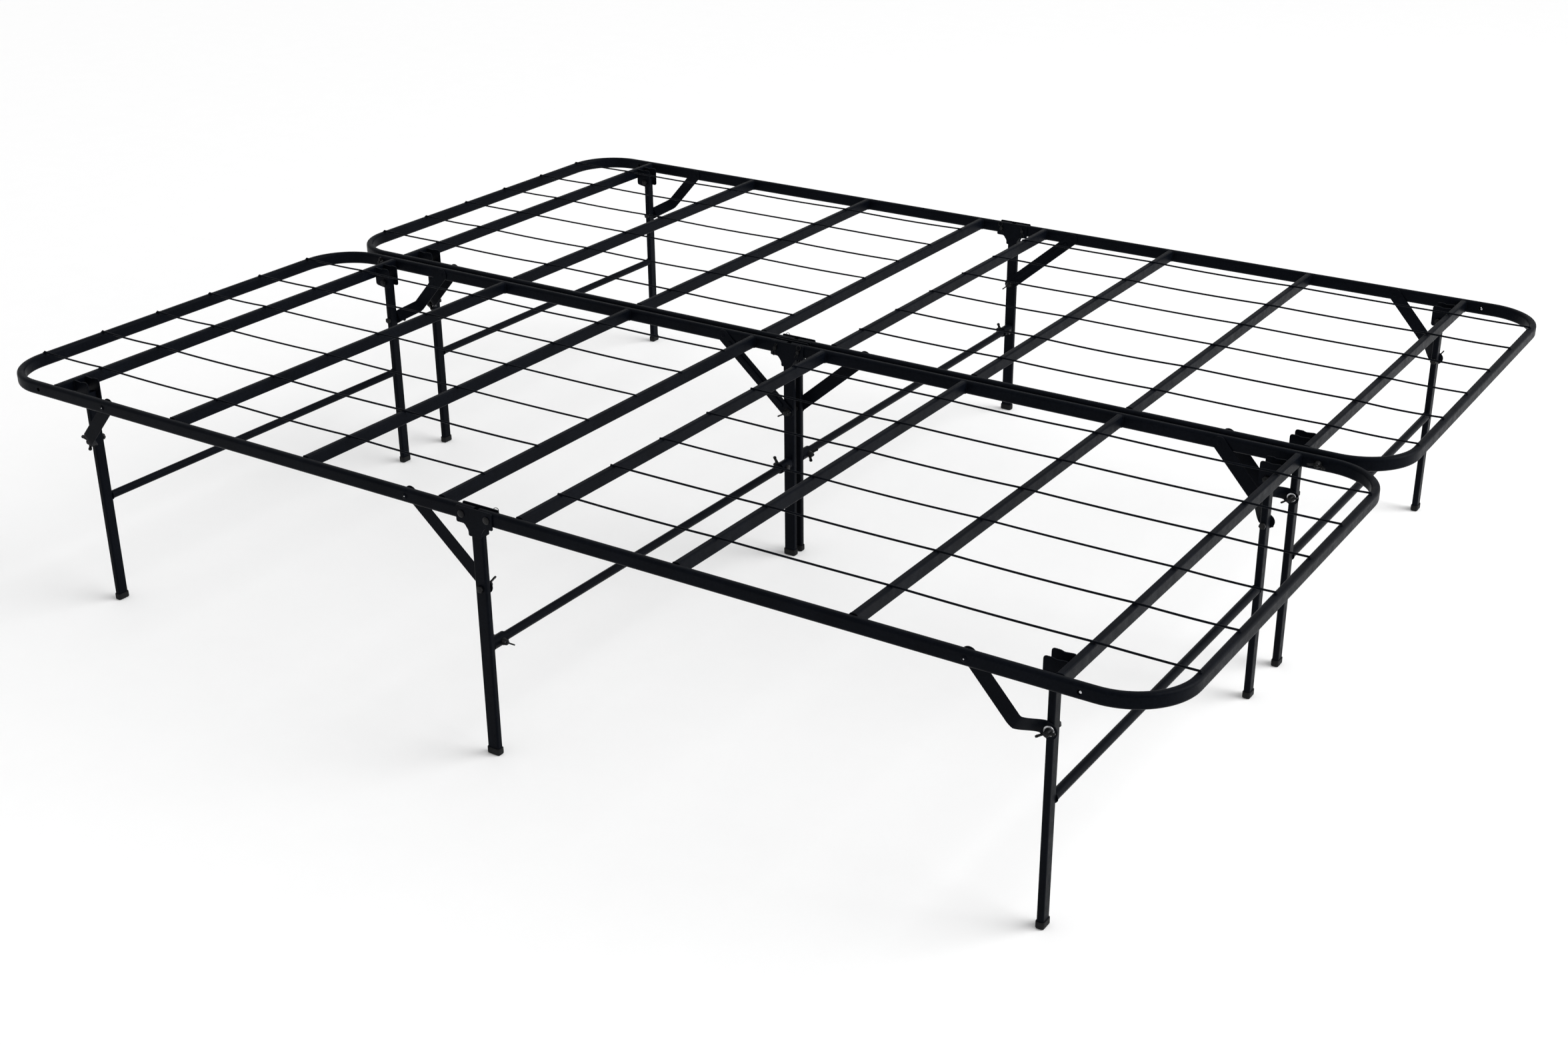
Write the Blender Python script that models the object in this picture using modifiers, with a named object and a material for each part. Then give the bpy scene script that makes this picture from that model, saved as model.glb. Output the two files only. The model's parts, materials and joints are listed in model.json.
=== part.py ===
"""Bi-fold metal platform bed frame: two identical folding units side by side, bolted together.

Metres, +Z up. X runs from the head end (-X) to the foot end (+X), Y across the bed, and the floor
is Z = 0. Each unit is two hinged deck halves over a central pair of legs, with a hinged H-shaped
leg frame under each end.
"""

import math

import bmesh
import bpy
from mathutils import Matrix, Vector

# overall sizes: over the rails' outside faces, and from the floor to the top of the wires
LENGTH = 2.000
WIDTH = 1.570
HEIGHT = 0.3838
UNIT_GAP = 0.0095

# clearances: between touching pieces, and round each pin and bolt
GAP = 0.0003
RUNNING = 0.0003

# tubes: width and height of each section, corner radius, wall
WALL = 0.0012
RAIL_W, RAIL_H, RAIL_R = 0.012, 0.021, 0.0048
BAR_W, BAR_H, BAR_R = 0.010, 0.020, 0.0028
POST_X, POST_Y, POST_R = 0.010, 0.018, 0.0028
CENTRE_X, CENTRE_Y = 0.020, 0.010
STRETCHER_D = 0.013
LEAST_INNER_R = 0.0006
WIRE_D = 0.003
WELD_BITE = 0.0005
BOW_RADIUS = 0.092

# deck: the rail's open end and the inner bars from the middle of the bed, the rest from its end
RAIL_START = 0.004
INNER_BAR_X = 0.068
SECOND_BAR_PITCH = 0.256
END_BAR_IN = 0.140
THIRD_BAR_PITCH = {"head": 0.261, "foot": 0.274}
CORNER_HOLE_IN = 0.110
END_BAR_DROP = 0.0002
WIRE_COUNT = 6
WIRE_MARGIN = 0.097625
WIRE_OVERHANG = 0.0035

# leg frame: its pivot from the end bar, its posts from the rail's outside face
LEG_BACK = 0.024
LEG_IN = 0.0531
LEG_PIVOT_DROP = 0.0265
POST_TOP = 0.006
PIVOT_D = 0.0056
LEG_STRETCHER_DROP = 0.190
VENT_D = 0.004
EAR_T, EAR_GAP, EAR_REACH, EAR_DROP = 0.002, 0.0008, 0.012, 0.036
EAR_TOP_DROP, EAR_CHAMFER, CHAMFER_SHARE = 0.0006, 0.005, 0.3

# braces: strip, rivet holes, and the leg brace's knee and foot from the leg and the rivet
STRIP_T, STRIP_W, STRIP_TAIL = 0.0016, 0.0215, 0.0
RIVET_D = 0.005
LEG_BRACE_REACH, KNEE_REACH = 0.093, 0.031
KNEE_DROP, LEG_BRACE_DROP = 0.0695, 0.089
KNEE_ROUND, JOG_START, JOG_END, JOG_LEAD = 0.002, 0.009, 0.005, 0.0004
CENTRE_BRACE_X, CENTRE_BRACE_DROP = 0.126, 0.109
RIB_BASE, RIB_CROWN, RIB_RISE, RIB_BITE, RIB_END = 0.007, 0.003, 0.0022, 0.0004, 0.016

# hinge bracket over the rail ends, and its pins
PIN_X, PIN_D, PIN_HEAD_D, PIN_HEAD_T, PIN_OUT = 0.022, 0.006, 0.011, 0.0018, 0.005
PLATE_T, PLATE_HALF, PLATE_LIP, PLATE_SHOULDER, PLATE_CORNER = 0.002, 0.0315, 0.001, 0.0135, 0.004
NECK_HALF, NECK_TAPER, NECK_FLARE, NECK_DROP = 0.0112, 0.009, 0.0065, 0.030
WEB_INSET, WEB_DROP, WEB_FOOT = 0.0005, 0.0125, 0.002
CENTRE_POST_LAP = 0.004

# sleeve for the centre stretcher, feet and the bolts that join the two units
CENTRE_STRETCHER_DROP = 0.200
SLEEVE_D, SLEEVE_LENGTH, SLEEVE_HOLD = 0.018, 0.030, 0.022
FOOT_LIP, FOOT_H, PLUG_H = 0.00125, 0.010, 0.016
BOLT_D, BOLT_HEAD_AF, BOLT_HEAD_T, BOLT_OUT = 0.0058, 0.010, 0.004, 0.004
NUT_D, NUT_H = 0.011, 0.007
WING_SPAN, WING_T, WING_RISE, WING_TIP, WING_BITE = 0.028, 0.0022, 0.005, 0.003, 0.001

UNIT_W = (WIDTH - UNIT_GAP) / 2
UNIT_Y = (UNIT_W + UNIT_GAP) / 2
RAIL_TOP = HEIGHT - WIRE_D - GAP
PIN_Z = RAIL_TOP - RAIL_H / 2
BAR_TOP = HEIGHT - WIRE_D + WELD_BITE
INSIDE = RAIL_W + GAP
END_BAR_X = LENGTH / 2 - END_BAR_IN
BAR_X = {half: (INNER_BAR_X, INNER_BAR_X + SECOND_BAR_PITCH, END_BAR_X - pitch)
         for half, pitch in THIRD_BAR_PITCH.items()}
CORNER_HOLE_X = LENGTH / 2 - CORNER_HOLE_IN
WIRE_PITCH = (UNIT_W - 2 * WIRE_MARGIN) / (WIRE_COUNT - 1)
WIRE_START = INNER_BAR_X - WIRE_OVERHANG
LEG_X = END_BAR_X - LEG_BACK
LEG_PIVOT_Z = RAIL_TOP - LEG_PIVOT_DROP
LEG_STRETCHER_Z = PIN_Z - LEG_STRETCHER_DROP
LEG_BRACE_X = LEG_X - LEG_BRACE_REACH
CENTRE_BRACE_Z = PIN_Z - CENTRE_BRACE_DROP
CENTRE_STRETCHER_Z = PIN_Z - CENTRE_STRETCHER_DROP
HALVES = {"head": -1, "foot": 1}
SIDES = {"outer": -1, "inner": 1}
UNITS = {"left": -1, "right": 1}

for old in list(bpy.data.objects):
    bpy.data.objects.remove(old, do_unlink=True)


def collection(name, hidden=False):
    made = bpy.data.collections.new(name)
    bpy.context.scene.collection.children.link(made)
    made.hide_render = hidden
    return made


PARTS = collection("metal_bed_frame")
WORK = collection("cutters", hidden=True)


def material(name, colour, roughness, metallic):
    made = bpy.data.materials.new(name)
    made.use_nodes = True
    shader = made.node_tree.nodes["Principled BSDF"]
    shader.inputs["Base Color"].default_value = (*colour, 1.0)
    shader.inputs["Roughness"].default_value = roughness
    shader.inputs["Metallic"].default_value = metallic
    return made


COAT = material("black_powder_coat", (0.012, 0.014, 0.016), 0.45, 0.0)
BLACK_ZINC = material("black_zinc", (0.030, 0.030, 0.033), 0.38, 0.8)
PLASTIC = material("black_plastic", (0.010, 0.010, 0.011), 0.6, 0.0)


# ---------------------------------------------------------------- shapes


def rounded(width, height, radius, steps=2):
    """Corners of a rounded rectangle about the origin, counter-clockwise."""
    points = []
    for quarter, (sx, sy) in enumerate(((1, 1), (-1, 1), (-1, -1), (1, -1))):
        for k in range(steps + 1):
            turn = math.pi / 2 * (quarter + k / steps)
            points.append((sx * (width / 2 - radius) + radius * math.cos(turn),
                           sy * (height / 2 - radius) + radius * math.sin(turn)))
    return points


def circle(diameter, centre=(0.0, 0.0), steps=12):
    turns = [2 * math.pi * k / steps for k in range(steps)]
    return [(centre[0] + diameter / 2 * math.cos(turn), centre[1] + diameter / 2 * math.sin(turn))
            for turn in turns]


def spline(data, points, closed):
    made = data.splines.new("POLY")
    made.points.add(len(points) - 1)
    for point, at in zip(made.points, points):
        point.co = (*at, 0.0, 1.0)
    made.use_cyclic_u = closed


def as_mesh(curve_object):
    """The curve's mesh as a new working object, with its seams closed up."""
    bpy.context.view_layer.update()
    graph = bpy.context.evaluated_depsgraph_get()
    mesh = bpy.data.meshes.new_from_object(curve_object.evaluated_get(graph))
    bpy.data.objects.remove(curve_object, do_unlink=True)
    return working(mesh)


def working(mesh):
    tidy = bmesh.new()
    tidy.from_mesh(mesh)
    bmesh.ops.remove_doubles(tidy, verts=tidy.verts, dist=1e-6)
    bmesh.ops.recalc_face_normals(tidy, faces=tidy.faces)
    tidy.to_mesh(mesh)
    tidy.free()
    made = bpy.data.objects.new("work", mesh)
    made.display_type = "WIRE"
    made.hide_render = True
    WORK.objects.link(made)
    return made


def slab(loops, low, high):
    """A flat shape, its first loop the outline and the rest holes, thick from low to high in Z."""
    data = bpy.data.curves.new("outline", "CURVE")
    data.dimensions = "2D"
    data.fill_mode = "BOTH"
    data.extrude = (high - low) / 2
    for loop in loops:
        spline(data, loop, True)
    drawn = bpy.data.objects.new("outline", data)
    WORK.objects.link(drawn)
    made = as_mesh(drawn)
    made.data.transform(Matrix.Translation((0, 0, (low + high) / 2)))
    return made


def stood_up(made):
    """Turns a slab drawn in X and Z, thick in its third axis, so that its thickness runs along Y."""
    made.data.transform(Matrix(((1, 0, 0, 0), (0, 0, 1, 0), (0, 1, 0, 0), (0, 0, 0, 1))))
    made.data.flip_normals()
    return made


def plate(loops, low, high):
    """A flat plate drawn in X and Z that fills Y from low to high."""
    return stood_up(slab(loops, low, high))


def moved(made, x=0.0, y=0.0, z=0.0):
    made.data.transform(Matrix.Translation((x, y, z)))
    return made


def tube_z(width, depth, radius, low, high, wall=WALL):
    """A hollow straight tube along Z, open at both ends."""
    inner = rounded(width - 2 * wall, depth - 2 * wall, max(radius - wall, LEAST_INNER_R), 1)
    return slab((rounded(width, depth, radius), inner[::-1]), low, high)


def tube_y(width, height, radius, low, high):
    """A hollow straight tube along Y, open at both ends."""
    inner = rounded(width - 2 * WALL, height - 2 * WALL, max(radius - WALL, LEAST_INNER_R), 1)
    return plate((rounded(width, height, radius), inner[::-1]), low, high)


def pipe_y(outer, inner, low, high, steps=16):
    return plate((circle(outer, steps=steps), circle(inner, steps=steps)[::-1]), low, high)


def rod_y(diameter, low, high, x=0.0, z=0.0, steps=12):
    """A solid cylinder along Y."""
    drawn = bmesh.new()
    bmesh.ops.create_cone(drawn, cap_ends=True, segments=steps, radius1=diameter / 2,
                          radius2=diameter / 2, depth=high - low)
    mesh = bpy.data.meshes.new("rod")
    drawn.to_mesh(mesh)
    drawn.free()
    mesh.transform(Matrix.Translation((x, (low + high) / 2, z)) @ Matrix.Rotation(math.pi / 2, 4, "X"))
    return working(mesh)


def joined(pieces):
    """Several working meshes as one, without merging their shapes."""
    whole = bmesh.new()
    for piece in pieces:
        whole.from_mesh(piece.data)
        bpy.data.objects.remove(piece, do_unlink=True)
    mesh = bpy.data.meshes.new("work")
    whole.to_mesh(mesh)
    whole.free()
    made = bpy.data.objects.new("work", mesh)
    made.display_type = "WIRE"
    made.hide_render = True
    WORK.objects.link(made)
    return made


def boolean(base, other, operation):
    """Welds the other shape to the base, or cuts it away, and leaves the result in the base."""
    step = base.modifiers.new("step", "BOOLEAN")
    step.operation = operation
    step.solver = "EXACT"
    step.object = other
    bpy.context.view_layer.update()
    graph = bpy.context.evaluated_depsgraph_get()
    mesh = bpy.data.meshes.new_from_object(base.evaluated_get(graph))
    base.modifiers.remove(step)
    base.data = mesh
    bpy.data.objects.remove(other, do_unlink=True)
    return base


def weld(base, *others):
    for other in others:
        boolean(base, other, "UNION")
    return base


def cut(base, *others):
    for other in others:
        boolean(base, other, "DIFFERENCE")
    return base


def finished(name, made, place, pivot, skin):
    """Puts a working shape in its place on the bed as a named piece with its origin at its pivot."""
    mesh = made.data.copy()
    mesh.transform(place)
    if place.determinant() < 0:
        mesh.flip_normals()
    pivot = place @ Vector(pivot)
    mesh.transform(Matrix.Translation(-pivot))
    mesh.materials.clear()
    mesh.materials.append(skin)
    mesh.name = name
    piece = bpy.data.objects.new(name, mesh)
    piece.location = pivot
    PARTS.objects.link(piece)
    return piece


def half_place(unit, half):
    """Design space of a deck half: X outward, Y across from the unit's middle, outer side at -Y."""
    u, h = UNITS[unit], HALVES[half]
    return Matrix(((h, 0, 0, 0), (0, -u, 0, u * UNIT_Y), (0, 0, 1, 0), (0, 0, 0, 1)))


def side_place(unit, half, side):
    """Design space of one corner: X outward, Y inboard from the rail's outside face."""
    edge = SIDES[side] * UNIT_W / 2
    return half_place(unit, half) @ Matrix(
        ((1, 0, 0, 0), (0, -SIDES[side], 0, edge), (0, 0, 1, 0), (0, 0, 0, 1)))


# ---------------------------------------------------------------- pieces of one half


def bow_rail():
    """The U-shaped tube round one half, its open ends at the hinge, with its bolt and pin holes."""
    side = UNIT_W / 2 - RAIL_W / 2
    end = LENGTH / 2 - RAIL_W / 2
    radius = BOW_RADIUS - RAIL_W / 2
    path = [(RAIL_START, -side)]
    for centre_y, start in ((-side + radius, -90), (side - radius, 0)):
        for k in range(9):
            turn = math.radians(start + 90 * k / 8)
            path.append((end - radius + radius * math.cos(turn), centre_y + radius * math.sin(turn)))
    path.append((RAIL_START, side))

    section = bpy.data.curves.new("section", "CURVE")
    section.dimensions = "2D"
    spline(section, rounded(RAIL_W, RAIL_H, RAIL_R), True)
    drawn_section = bpy.data.objects.new("section", section)
    WORK.objects.link(drawn_section)
    data = bpy.data.curves.new("path", "CURVE")
    data.dimensions = "3D"
    data.twist_mode = "Z_UP"
    data.bevel_mode = "OBJECT"
    data.bevel_object = drawn_section
    spline(data, path, False)
    drawn = bpy.data.objects.new("path", data)
    WORK.objects.link(drawn)
    tube = as_mesh(drawn)
    bpy.data.objects.remove(drawn_section, do_unlink=True)
    shell = tube.modifiers.new("wall", "SOLIDIFY")
    shell.thickness = WALL
    shell.offset = -1
    shell.use_even_offset = True
    bpy.context.view_layer.update()
    graph = bpy.context.evaluated_depsgraph_get()
    mesh = bpy.data.meshes.new_from_object(tube.evaluated_get(graph))
    bpy.data.objects.remove(tube, do_unlink=True)
    rail = moved(working(mesh), z=PIN_Z)
    reach = UNIT_W / 2 + RAIL_W
    holes = [rod_y(PIN_D + 2 * RUNNING, -reach, reach, PIN_X, PIN_Z),
             rod_y(BOLT_D + 2 * RUNNING, -reach, reach, CORNER_HOLE_X, PIN_Z)]
    return cut(rail, joined(holes))


def end_bar():
    """The cross bar that carries the leg frame: a tube with two pairs of welded pivot ears."""
    half = UNIT_W / 2 - INSIDE
    bar = moved(tube_y(BAR_W, BAR_H, BAR_R, -half, half),
                x=END_BAR_X, z=RAIL_TOP - BAR_H / 2 - END_BAR_DROP)
    left, right = LEG_X - EAR_REACH, END_BAR_X - BAR_W / 2 + WALL / 2
    top, bottom = RAIL_TOP - EAR_TOP_DROP, RAIL_TOP - EAR_DROP
    chamfer, mid = EAR_CHAMFER, EAR_CHAMFER * CHAMFER_SHARE
    outline = [(right, top), (left + chamfer, top), (left + mid, top - mid), (left, top - chamfer),
               (left, bottom + chamfer), (left + mid, bottom + mid), (left + chamfer, bottom),
               (right, bottom)]
    hole = circle(PIVOT_D + 2 * RUNNING, (LEG_X, LEG_PIVOT_Z))
    ears = []
    for side in (-1, 1):
        post = side * (UNIT_W / 2 - LEG_IN)
        for face in (-1, 1):
            near = post + face * (POST_Y / 2 + EAR_GAP)
            low, high = sorted((near, near + face * EAR_T))
            ears.append(plate((outline, hole[::-1]), low, high))
    return weld(bar, joined(ears))


def wire_deck(half):
    """Three cross bars of one half and the lengthwise wires welded over them."""
    reach = UNIT_W / 2 - INSIDE
    bars = joined([moved(tube_y(BAR_W, BAR_H, BAR_R, -reach, reach), x=x, z=BAR_TOP - BAR_H / 2)
                   for x in BAR_X[half]])
    wires = []
    for k in range(WIRE_COUNT):
        y = (k - (WIRE_COUNT - 1) / 2) * WIRE_PITCH
        data = bpy.data.curves.new("wire", "CURVE")
        data.dimensions = "3D"
        data.bevel_depth = WIRE_D / 2 / math.cos(math.pi / 8)
        data.bevel_resolution = 2
        data.use_fill_caps = True
        spline(data, [(WIRE_START, y), (LENGTH / 2 - RAIL_W / 2, y)], False)
        for point in data.splines[0].points:
            point.tilt = math.pi / 8
        drawn = bpy.data.objects.new("wire", data)
        WORK.objects.link(drawn)
        wires.append(moved(as_mesh(drawn), z=HEIGHT - WIRE_D / 2))
    return weld(bars, joined(wires))


def leg_frame():
    """Two posts joined by a stretcher, drilled for the pivots at the top."""
    across = UNIT_W / 2 - LEG_IN
    posts = [moved(tube_z(POST_X, POST_Y, POST_R, FOOT_H + GAP, LEG_PIVOT_Z + POST_TOP),
                   x=LEG_X, y=side * across) for side in (-1, 1)]
    reach = across - POST_Y / 2 + WALL / 2
    stretcher = moved(pipe_y(STRETCHER_D, STRETCHER_D - 2 * WALL, -reach, reach),
                      x=LEG_X, z=LEG_STRETCHER_Z)
    frame = weld(joined(posts), stretcher)
    vent = across - POST_Y / 2 + 2 * WALL
    pivot = across + POST_Y
    holes = [rod_y(PIVOT_D + 2 * RUNNING, -pivot, pivot, LEG_X, LEG_PIVOT_Z),
             rod_y(VENT_D, -vent, vent, LEG_X, LEG_STRETCHER_Z, 8)]
    return cut(frame, joined(holes))


def leg_brace():
    """The dog-leg strip from the rail to the leg's outside face, bent inboard at its knee."""
    outer = INSIDE
    tab = LEG_IN - POST_Y / 2 - GAP - STRIP_T
    top = Vector((LEG_BRACE_X, PIN_Z))
    knee = Vector((LEG_X - KNEE_REACH, PIN_Z - KNEE_DROP))
    foot = Vector((LEG_X, PIN_Z - LEG_BRACE_DROP))
    along = (knee - top).normalized()
    side = Vector((-along.y, along.x)) * (STRIP_W / 2)
    out = (foot - knee).normalized()
    out_side = Vector((-out.y, out.x)) * (STRIP_W / 2)
    rows = []
    for turn in (80, 50, 20):
        back, spread = math.cos(math.radians(90 - turn)), math.cos(math.radians(turn))
        rows.append((top - along * (STRIP_TAIL + back * STRIP_W / 2), side * spread, outer))
    rows.append((knee - along * KNEE_ROUND, side, outer))
    rows.append((knee + out * KNEE_ROUND, (side + out_side) / 2, outer + JOG_LEAD))
    rows.append((foot - out * JOG_START, out_side, tab - JOG_LEAD))
    rows.append((foot - out * JOG_END, out_side, tab))
    for turn in (0, 30, 60, 80):
        ahead, spread = math.sin(math.radians(turn)), math.cos(math.radians(turn))
        rows.append((foot + out * ahead * STRIP_W / 2, out_side * spread, tab))
    sheet = bmesh.new()
    pairs = [[sheet.verts.new((at.x + s * w.x, y, at.y + s * w.y)) for s in (-1, 1)]
             for at, w, y in rows]
    for (a, b), (c, d) in zip(pairs, pairs[1:]):
        sheet.faces.new((a, b, d, c))
    bmesh.ops.recalc_face_normals(sheet, faces=sheet.faces)
    if sheet.faces[0].normal.y > 0:
        bmesh.ops.reverse_faces(sheet, faces=sheet.faces)
    mesh = bpy.data.meshes.new("strip")
    sheet.to_mesh(mesh)
    sheet.free()
    strip = bpy.data.objects.new("work", mesh)
    WORK.objects.link(strip)
    thick = strip.modifiers.new("thickness", "SOLIDIFY")
    thick.thickness = STRIP_T
    thick.offset = -1
    bpy.context.view_layer.update()
    graph = bpy.context.evaluated_depsgraph_get()
    solid = working(bpy.data.meshes.new_from_object(strip.evaluated_get(graph)))
    bpy.data.objects.remove(strip, do_unlink=True)
    through = 3 * STRIP_T
    holes = [rod_y(RIVET_D, outer - through, outer + through, top.x, top.y),
             rod_y(RIVET_D, tab - through, tab + through, foot.x, foot.y)]
    return cut(solid, joined(holes))


# ---------------------------------------------------------------- pieces at the middle


def centre_leg():
    """The post under a hinge: its bracket plates and web, and the sleeve for the stretcher."""
    middle = RAIL_W / 2
    post = moved(tube_z(CENTRE_X, CENTRE_Y, POST_R, FOOT_H + GAP,
                        PIN_Z - WEB_DROP - CENTRE_POST_LAP), y=middle)
    lip = RAIL_H / 2 + PLATE_LIP
    inner = PLATE_HALF - PLATE_CORNER
    half_outline = [(inner, lip), (PLATE_HALF, lip - PLATE_CORNER),
                    (PLATE_HALF, -PLATE_SHOULDER + PLATE_CORNER), (inner, -PLATE_SHOULDER),
                    (NECK_HALF + NECK_FLARE, -PLATE_SHOULDER - PLATE_LIP),
                    (NECK_HALF, -PLATE_SHOULDER - NECK_TAPER), (NECK_HALF, -NECK_DROP)]
    outline = [(x, PIN_Z + z) for x, z in half_outline]
    outline = outline + [(-x, z) for x, z in outline[::-1]]
    holes = [circle(PIN_D + 2 * RUNNING, (s * PIN_X, PIN_Z))[::-1] for s in (-1, 1)]
    outside = plate((outline, *holes), -GAP - PLATE_T, -GAP)
    inside = plate((outline, *holes), INSIDE, INSIDE + PLATE_T)
    reach, low = NECK_HALF - WEB_INSET, PIN_Z - NECK_DROP + WEB_FOOT
    web = [(reach, PIN_Z - WEB_DROP), (-reach, PIN_Z - WEB_DROP), (-reach, low), (reach, low)]
    saddle = plate((web,), -GAP - PLATE_T / 2, INSIDE + PLATE_T / 2)
    face = middle + CENTRE_Y / 2
    bore = STRETCHER_D + 2 * RUNNING
    sleeve = moved(pipe_y(SLEEVE_D, bore, face - WALL / 2, face + SLEEVE_LENGTH), z=CENTRE_STRETCHER_Z)
    return weld(post, weld(saddle, joined([outside, inside])), sleeve)


def centre_brace():
    """The straight ribbed strip from the rail down to the centre post."""
    top, foot = Vector((CENTRE_BRACE_X, PIN_Z)), Vector((0.0, CENTRE_BRACE_Z))
    length = (top - foot).length
    ends = [(STRIP_W / 2 * math.cos(math.radians(t)), STRIP_W / 2 * math.sin(math.radians(t)))
            for t in range(-90, 91, 30)]
    outline = [(length + STRIP_TAIL + x, z) for x, z in ends] + [(-x, -z) for x, z in ends]
    holes = [circle(RIVET_D)[::-1], circle(RIVET_D, (length, 0))[::-1]]
    strip = plate((outline, *holes), INSIDE, INSIDE + STRIP_T)
    rib_section = [(RIB_BASE / 2, 0), (RIB_CROWN / 2, RIB_RISE), (-RIB_CROWN / 2, RIB_RISE),
                   (-RIB_BASE / 2, 0)]
    rib = slab((rib_section,), RIB_END, length - RIB_END)
    seat = INSIDE + STRIP_T - RIB_BITE
    rib.data.transform(Matrix(((0, 0, 1, 0), (0, 1, 0, seat), (1, 0, 0, 0), (0, 0, 0, 1))))
    rib.data.flip_normals()
    brace = weld(strip, rib)
    lean = math.atan2(top.y - foot.y, top.x - foot.x)
    brace.data.transform(Matrix.Translation((foot.x, 0, foot.y)) @ Matrix.Rotation(-lean, 4, "Y"))
    return brace


def centre_stretcher():
    """The loose tube between the two centre legs, held at each end in a sleeve."""
    face = UNIT_W / 2 - RAIL_W / 2 - CENTRE_Y / 2
    reach = face - SLEEVE_LENGTH + SLEEVE_HOLD
    return moved(pipe_y(STRETCHER_D, STRETCHER_D - 2 * WALL, -reach, reach), z=CENTRE_STRETCHER_Z)


def foot(width, depth):
    """A plastic cap with a plug that fits up inside the post."""
    cap = slab((rounded(width + 2 * FOOT_LIP, depth + 2 * FOOT_LIP, POST_R + FOOT_LIP),), 0.0, FOOT_H)
    slack = 2 * (WALL + GAP)
    plug = slab((rounded(width - slack, depth - slack, POST_R - WALL, 1),), FOOT_H / 2, FOOT_H + PLUG_H)
    return weld(cap, plug)


def hinge_pin():
    """A headed pin along Y through the bracket plates and the rail."""
    start = -GAP - PLATE_T - GAP
    shank = rod_y(PIN_D, start - PIN_HEAD_T / 2, INSIDE + PLATE_T + PIN_OUT, PIN_X, PIN_Z)
    return weld(shank, rod_y(PIN_HEAD_D, start - PIN_HEAD_T, start, PIN_X, PIN_Z))


def link_bolt():
    """The bolt along Y that ties the two inner rails, its head on the right-hand unit's rail."""
    grip = UNIT_GAP / 2 + RAIL_W + GAP
    shank = rod_y(BOLT_D, -grip - NUT_H - BOLT_OUT, grip + BOLT_HEAD_T / 2)
    head = circle(BOLT_HEAD_AF / math.cos(math.pi / 6), steps=6)
    return weld(shank, plate((head,), grip, grip + BOLT_HEAD_T))


def wing_nut():
    """The wing nut on the link bolt, against the left-hand unit's rail."""
    grip = UNIT_GAP / 2 + RAIL_W + GAP
    low, high = -grip - NUT_H, -grip
    bore = BOLT_D + 2 * RUNNING
    hub = pipe_y(NUT_D, bore, low, high)
    root, tip, far = NUT_D / 2 - WING_BITE, WING_SPAN / 2 - WING_TIP, WING_SPAN / 2
    half_wing = [(root, high - WING_TIP), (root, low + WING_BITE), (tip, low - WING_RISE),
                 (far, low - WING_RISE + WING_BITE), (far, low - WING_BITE), (tip, high - WING_TIP)]
    wings = [slab(([(side * x, y) for x, y in half_wing],), -WING_T / 2, WING_T / 2)
             for side in (-1, 1)]
    return weld(hub, joined(wings))


# ---------------------------------------------------------------- the whole bed

RAIL, END_BAR, LEGS, BRACE = bow_rail(), end_bar(), leg_frame(), leg_brace()
DECK = {half: wire_deck(half) for half in HALVES}
CENTRE_LEG, CENTRE_BRACE, STRETCHER = centre_leg(), centre_brace(), centre_stretcher()
END_FOOT, CENTRE_FOOT, PIN = foot(POST_X, POST_Y), foot(CENTRE_X, CENTRE_Y), hinge_pin()
BOLT, NUT = link_bolt(), wing_nut()

for unit in UNITS:
    brace_half = "head" if unit == "left" else "foot"
    middle_place = half_place(unit, "foot")
    finished(f"{unit}_centre_stretcher", STRETCHER, middle_place, (0, 0, CENTRE_STRETCHER_Z), COAT)
    for half in HALVES:
        place = half_place(unit, half)
        hinge = (PIN_X, 0, PIN_Z)
        finished(f"{unit}_{half}_rail", RAIL, place, hinge, COAT)
        finished(f"{unit}_{half}_end_bar", END_BAR, place, hinge, COAT)
        finished(f"{unit}_{half}_wire_deck", DECK[half], place, hinge, COAT)
        finished(f"{unit}_{half}_leg_frame", LEGS, place, (LEG_X, 0, LEG_PIVOT_Z), COAT)
        for side in SIDES:
            corner = side_place(unit, half, side)
            finished(f"{unit}_{half}_{side}_brace", BRACE, corner, (LEG_BRACE_X, INSIDE, PIN_Z), COAT)
            finished(f"{unit}_{half}_{side}_foot", END_FOOT,
                     corner @ Matrix.Translation((LEG_X, LEG_IN, 0)), (0, 0, 0), PLASTIC)
            finished(f"{unit}_{half}_{side}_hinge_pin", PIN, corner, (PIN_X, 0, PIN_Z), BLACK_ZINC)
    for side in SIDES:
        corner = side_place(unit, "foot", side)
        finished(f"{unit}_{side}_centre_leg", CENTRE_LEG, corner, (0, RAIL_W / 2, 0), COAT)
        finished(f"{unit}_{side}_centre_foot", CENTRE_FOOT,
                 corner @ Matrix.Translation((0, RAIL_W / 2, 0)), (0, 0, 0), PLASTIC)
        finished(f"{unit}_{side}_centre_brace", CENTRE_BRACE, side_place(unit, brace_half, side),
                 (CENTRE_BRACE_X, INSIDE, PIN_Z), COAT)

for half, way in HALVES.items():
    at = Matrix.Translation((way * CORNER_HOLE_X, 0, PIN_Z))
    finished(f"{half}_link_bolt", BOLT, at, (0, 0, 0), BLACK_ZINC)
    finished(f"{half}_link_wing_nut", NUT, at, (0, 0, 0), BLACK_ZINC)

for spare in list(WORK.objects):
    bpy.data.objects.remove(spare, do_unlink=True)
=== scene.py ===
"""Looks of the folding metal bed frame: tubes, brackets, wires, welds and fasteners.

Metres, +Z up. X runs from the head end (-X) to the foot end (+X), Y across the bed. A shape is made
once in the space of one deck half or one corner, and set in its place on each unit from there.
"""

import json
import math

import bmesh
import bpy
from mathutils import Matrix, Vector


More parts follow.
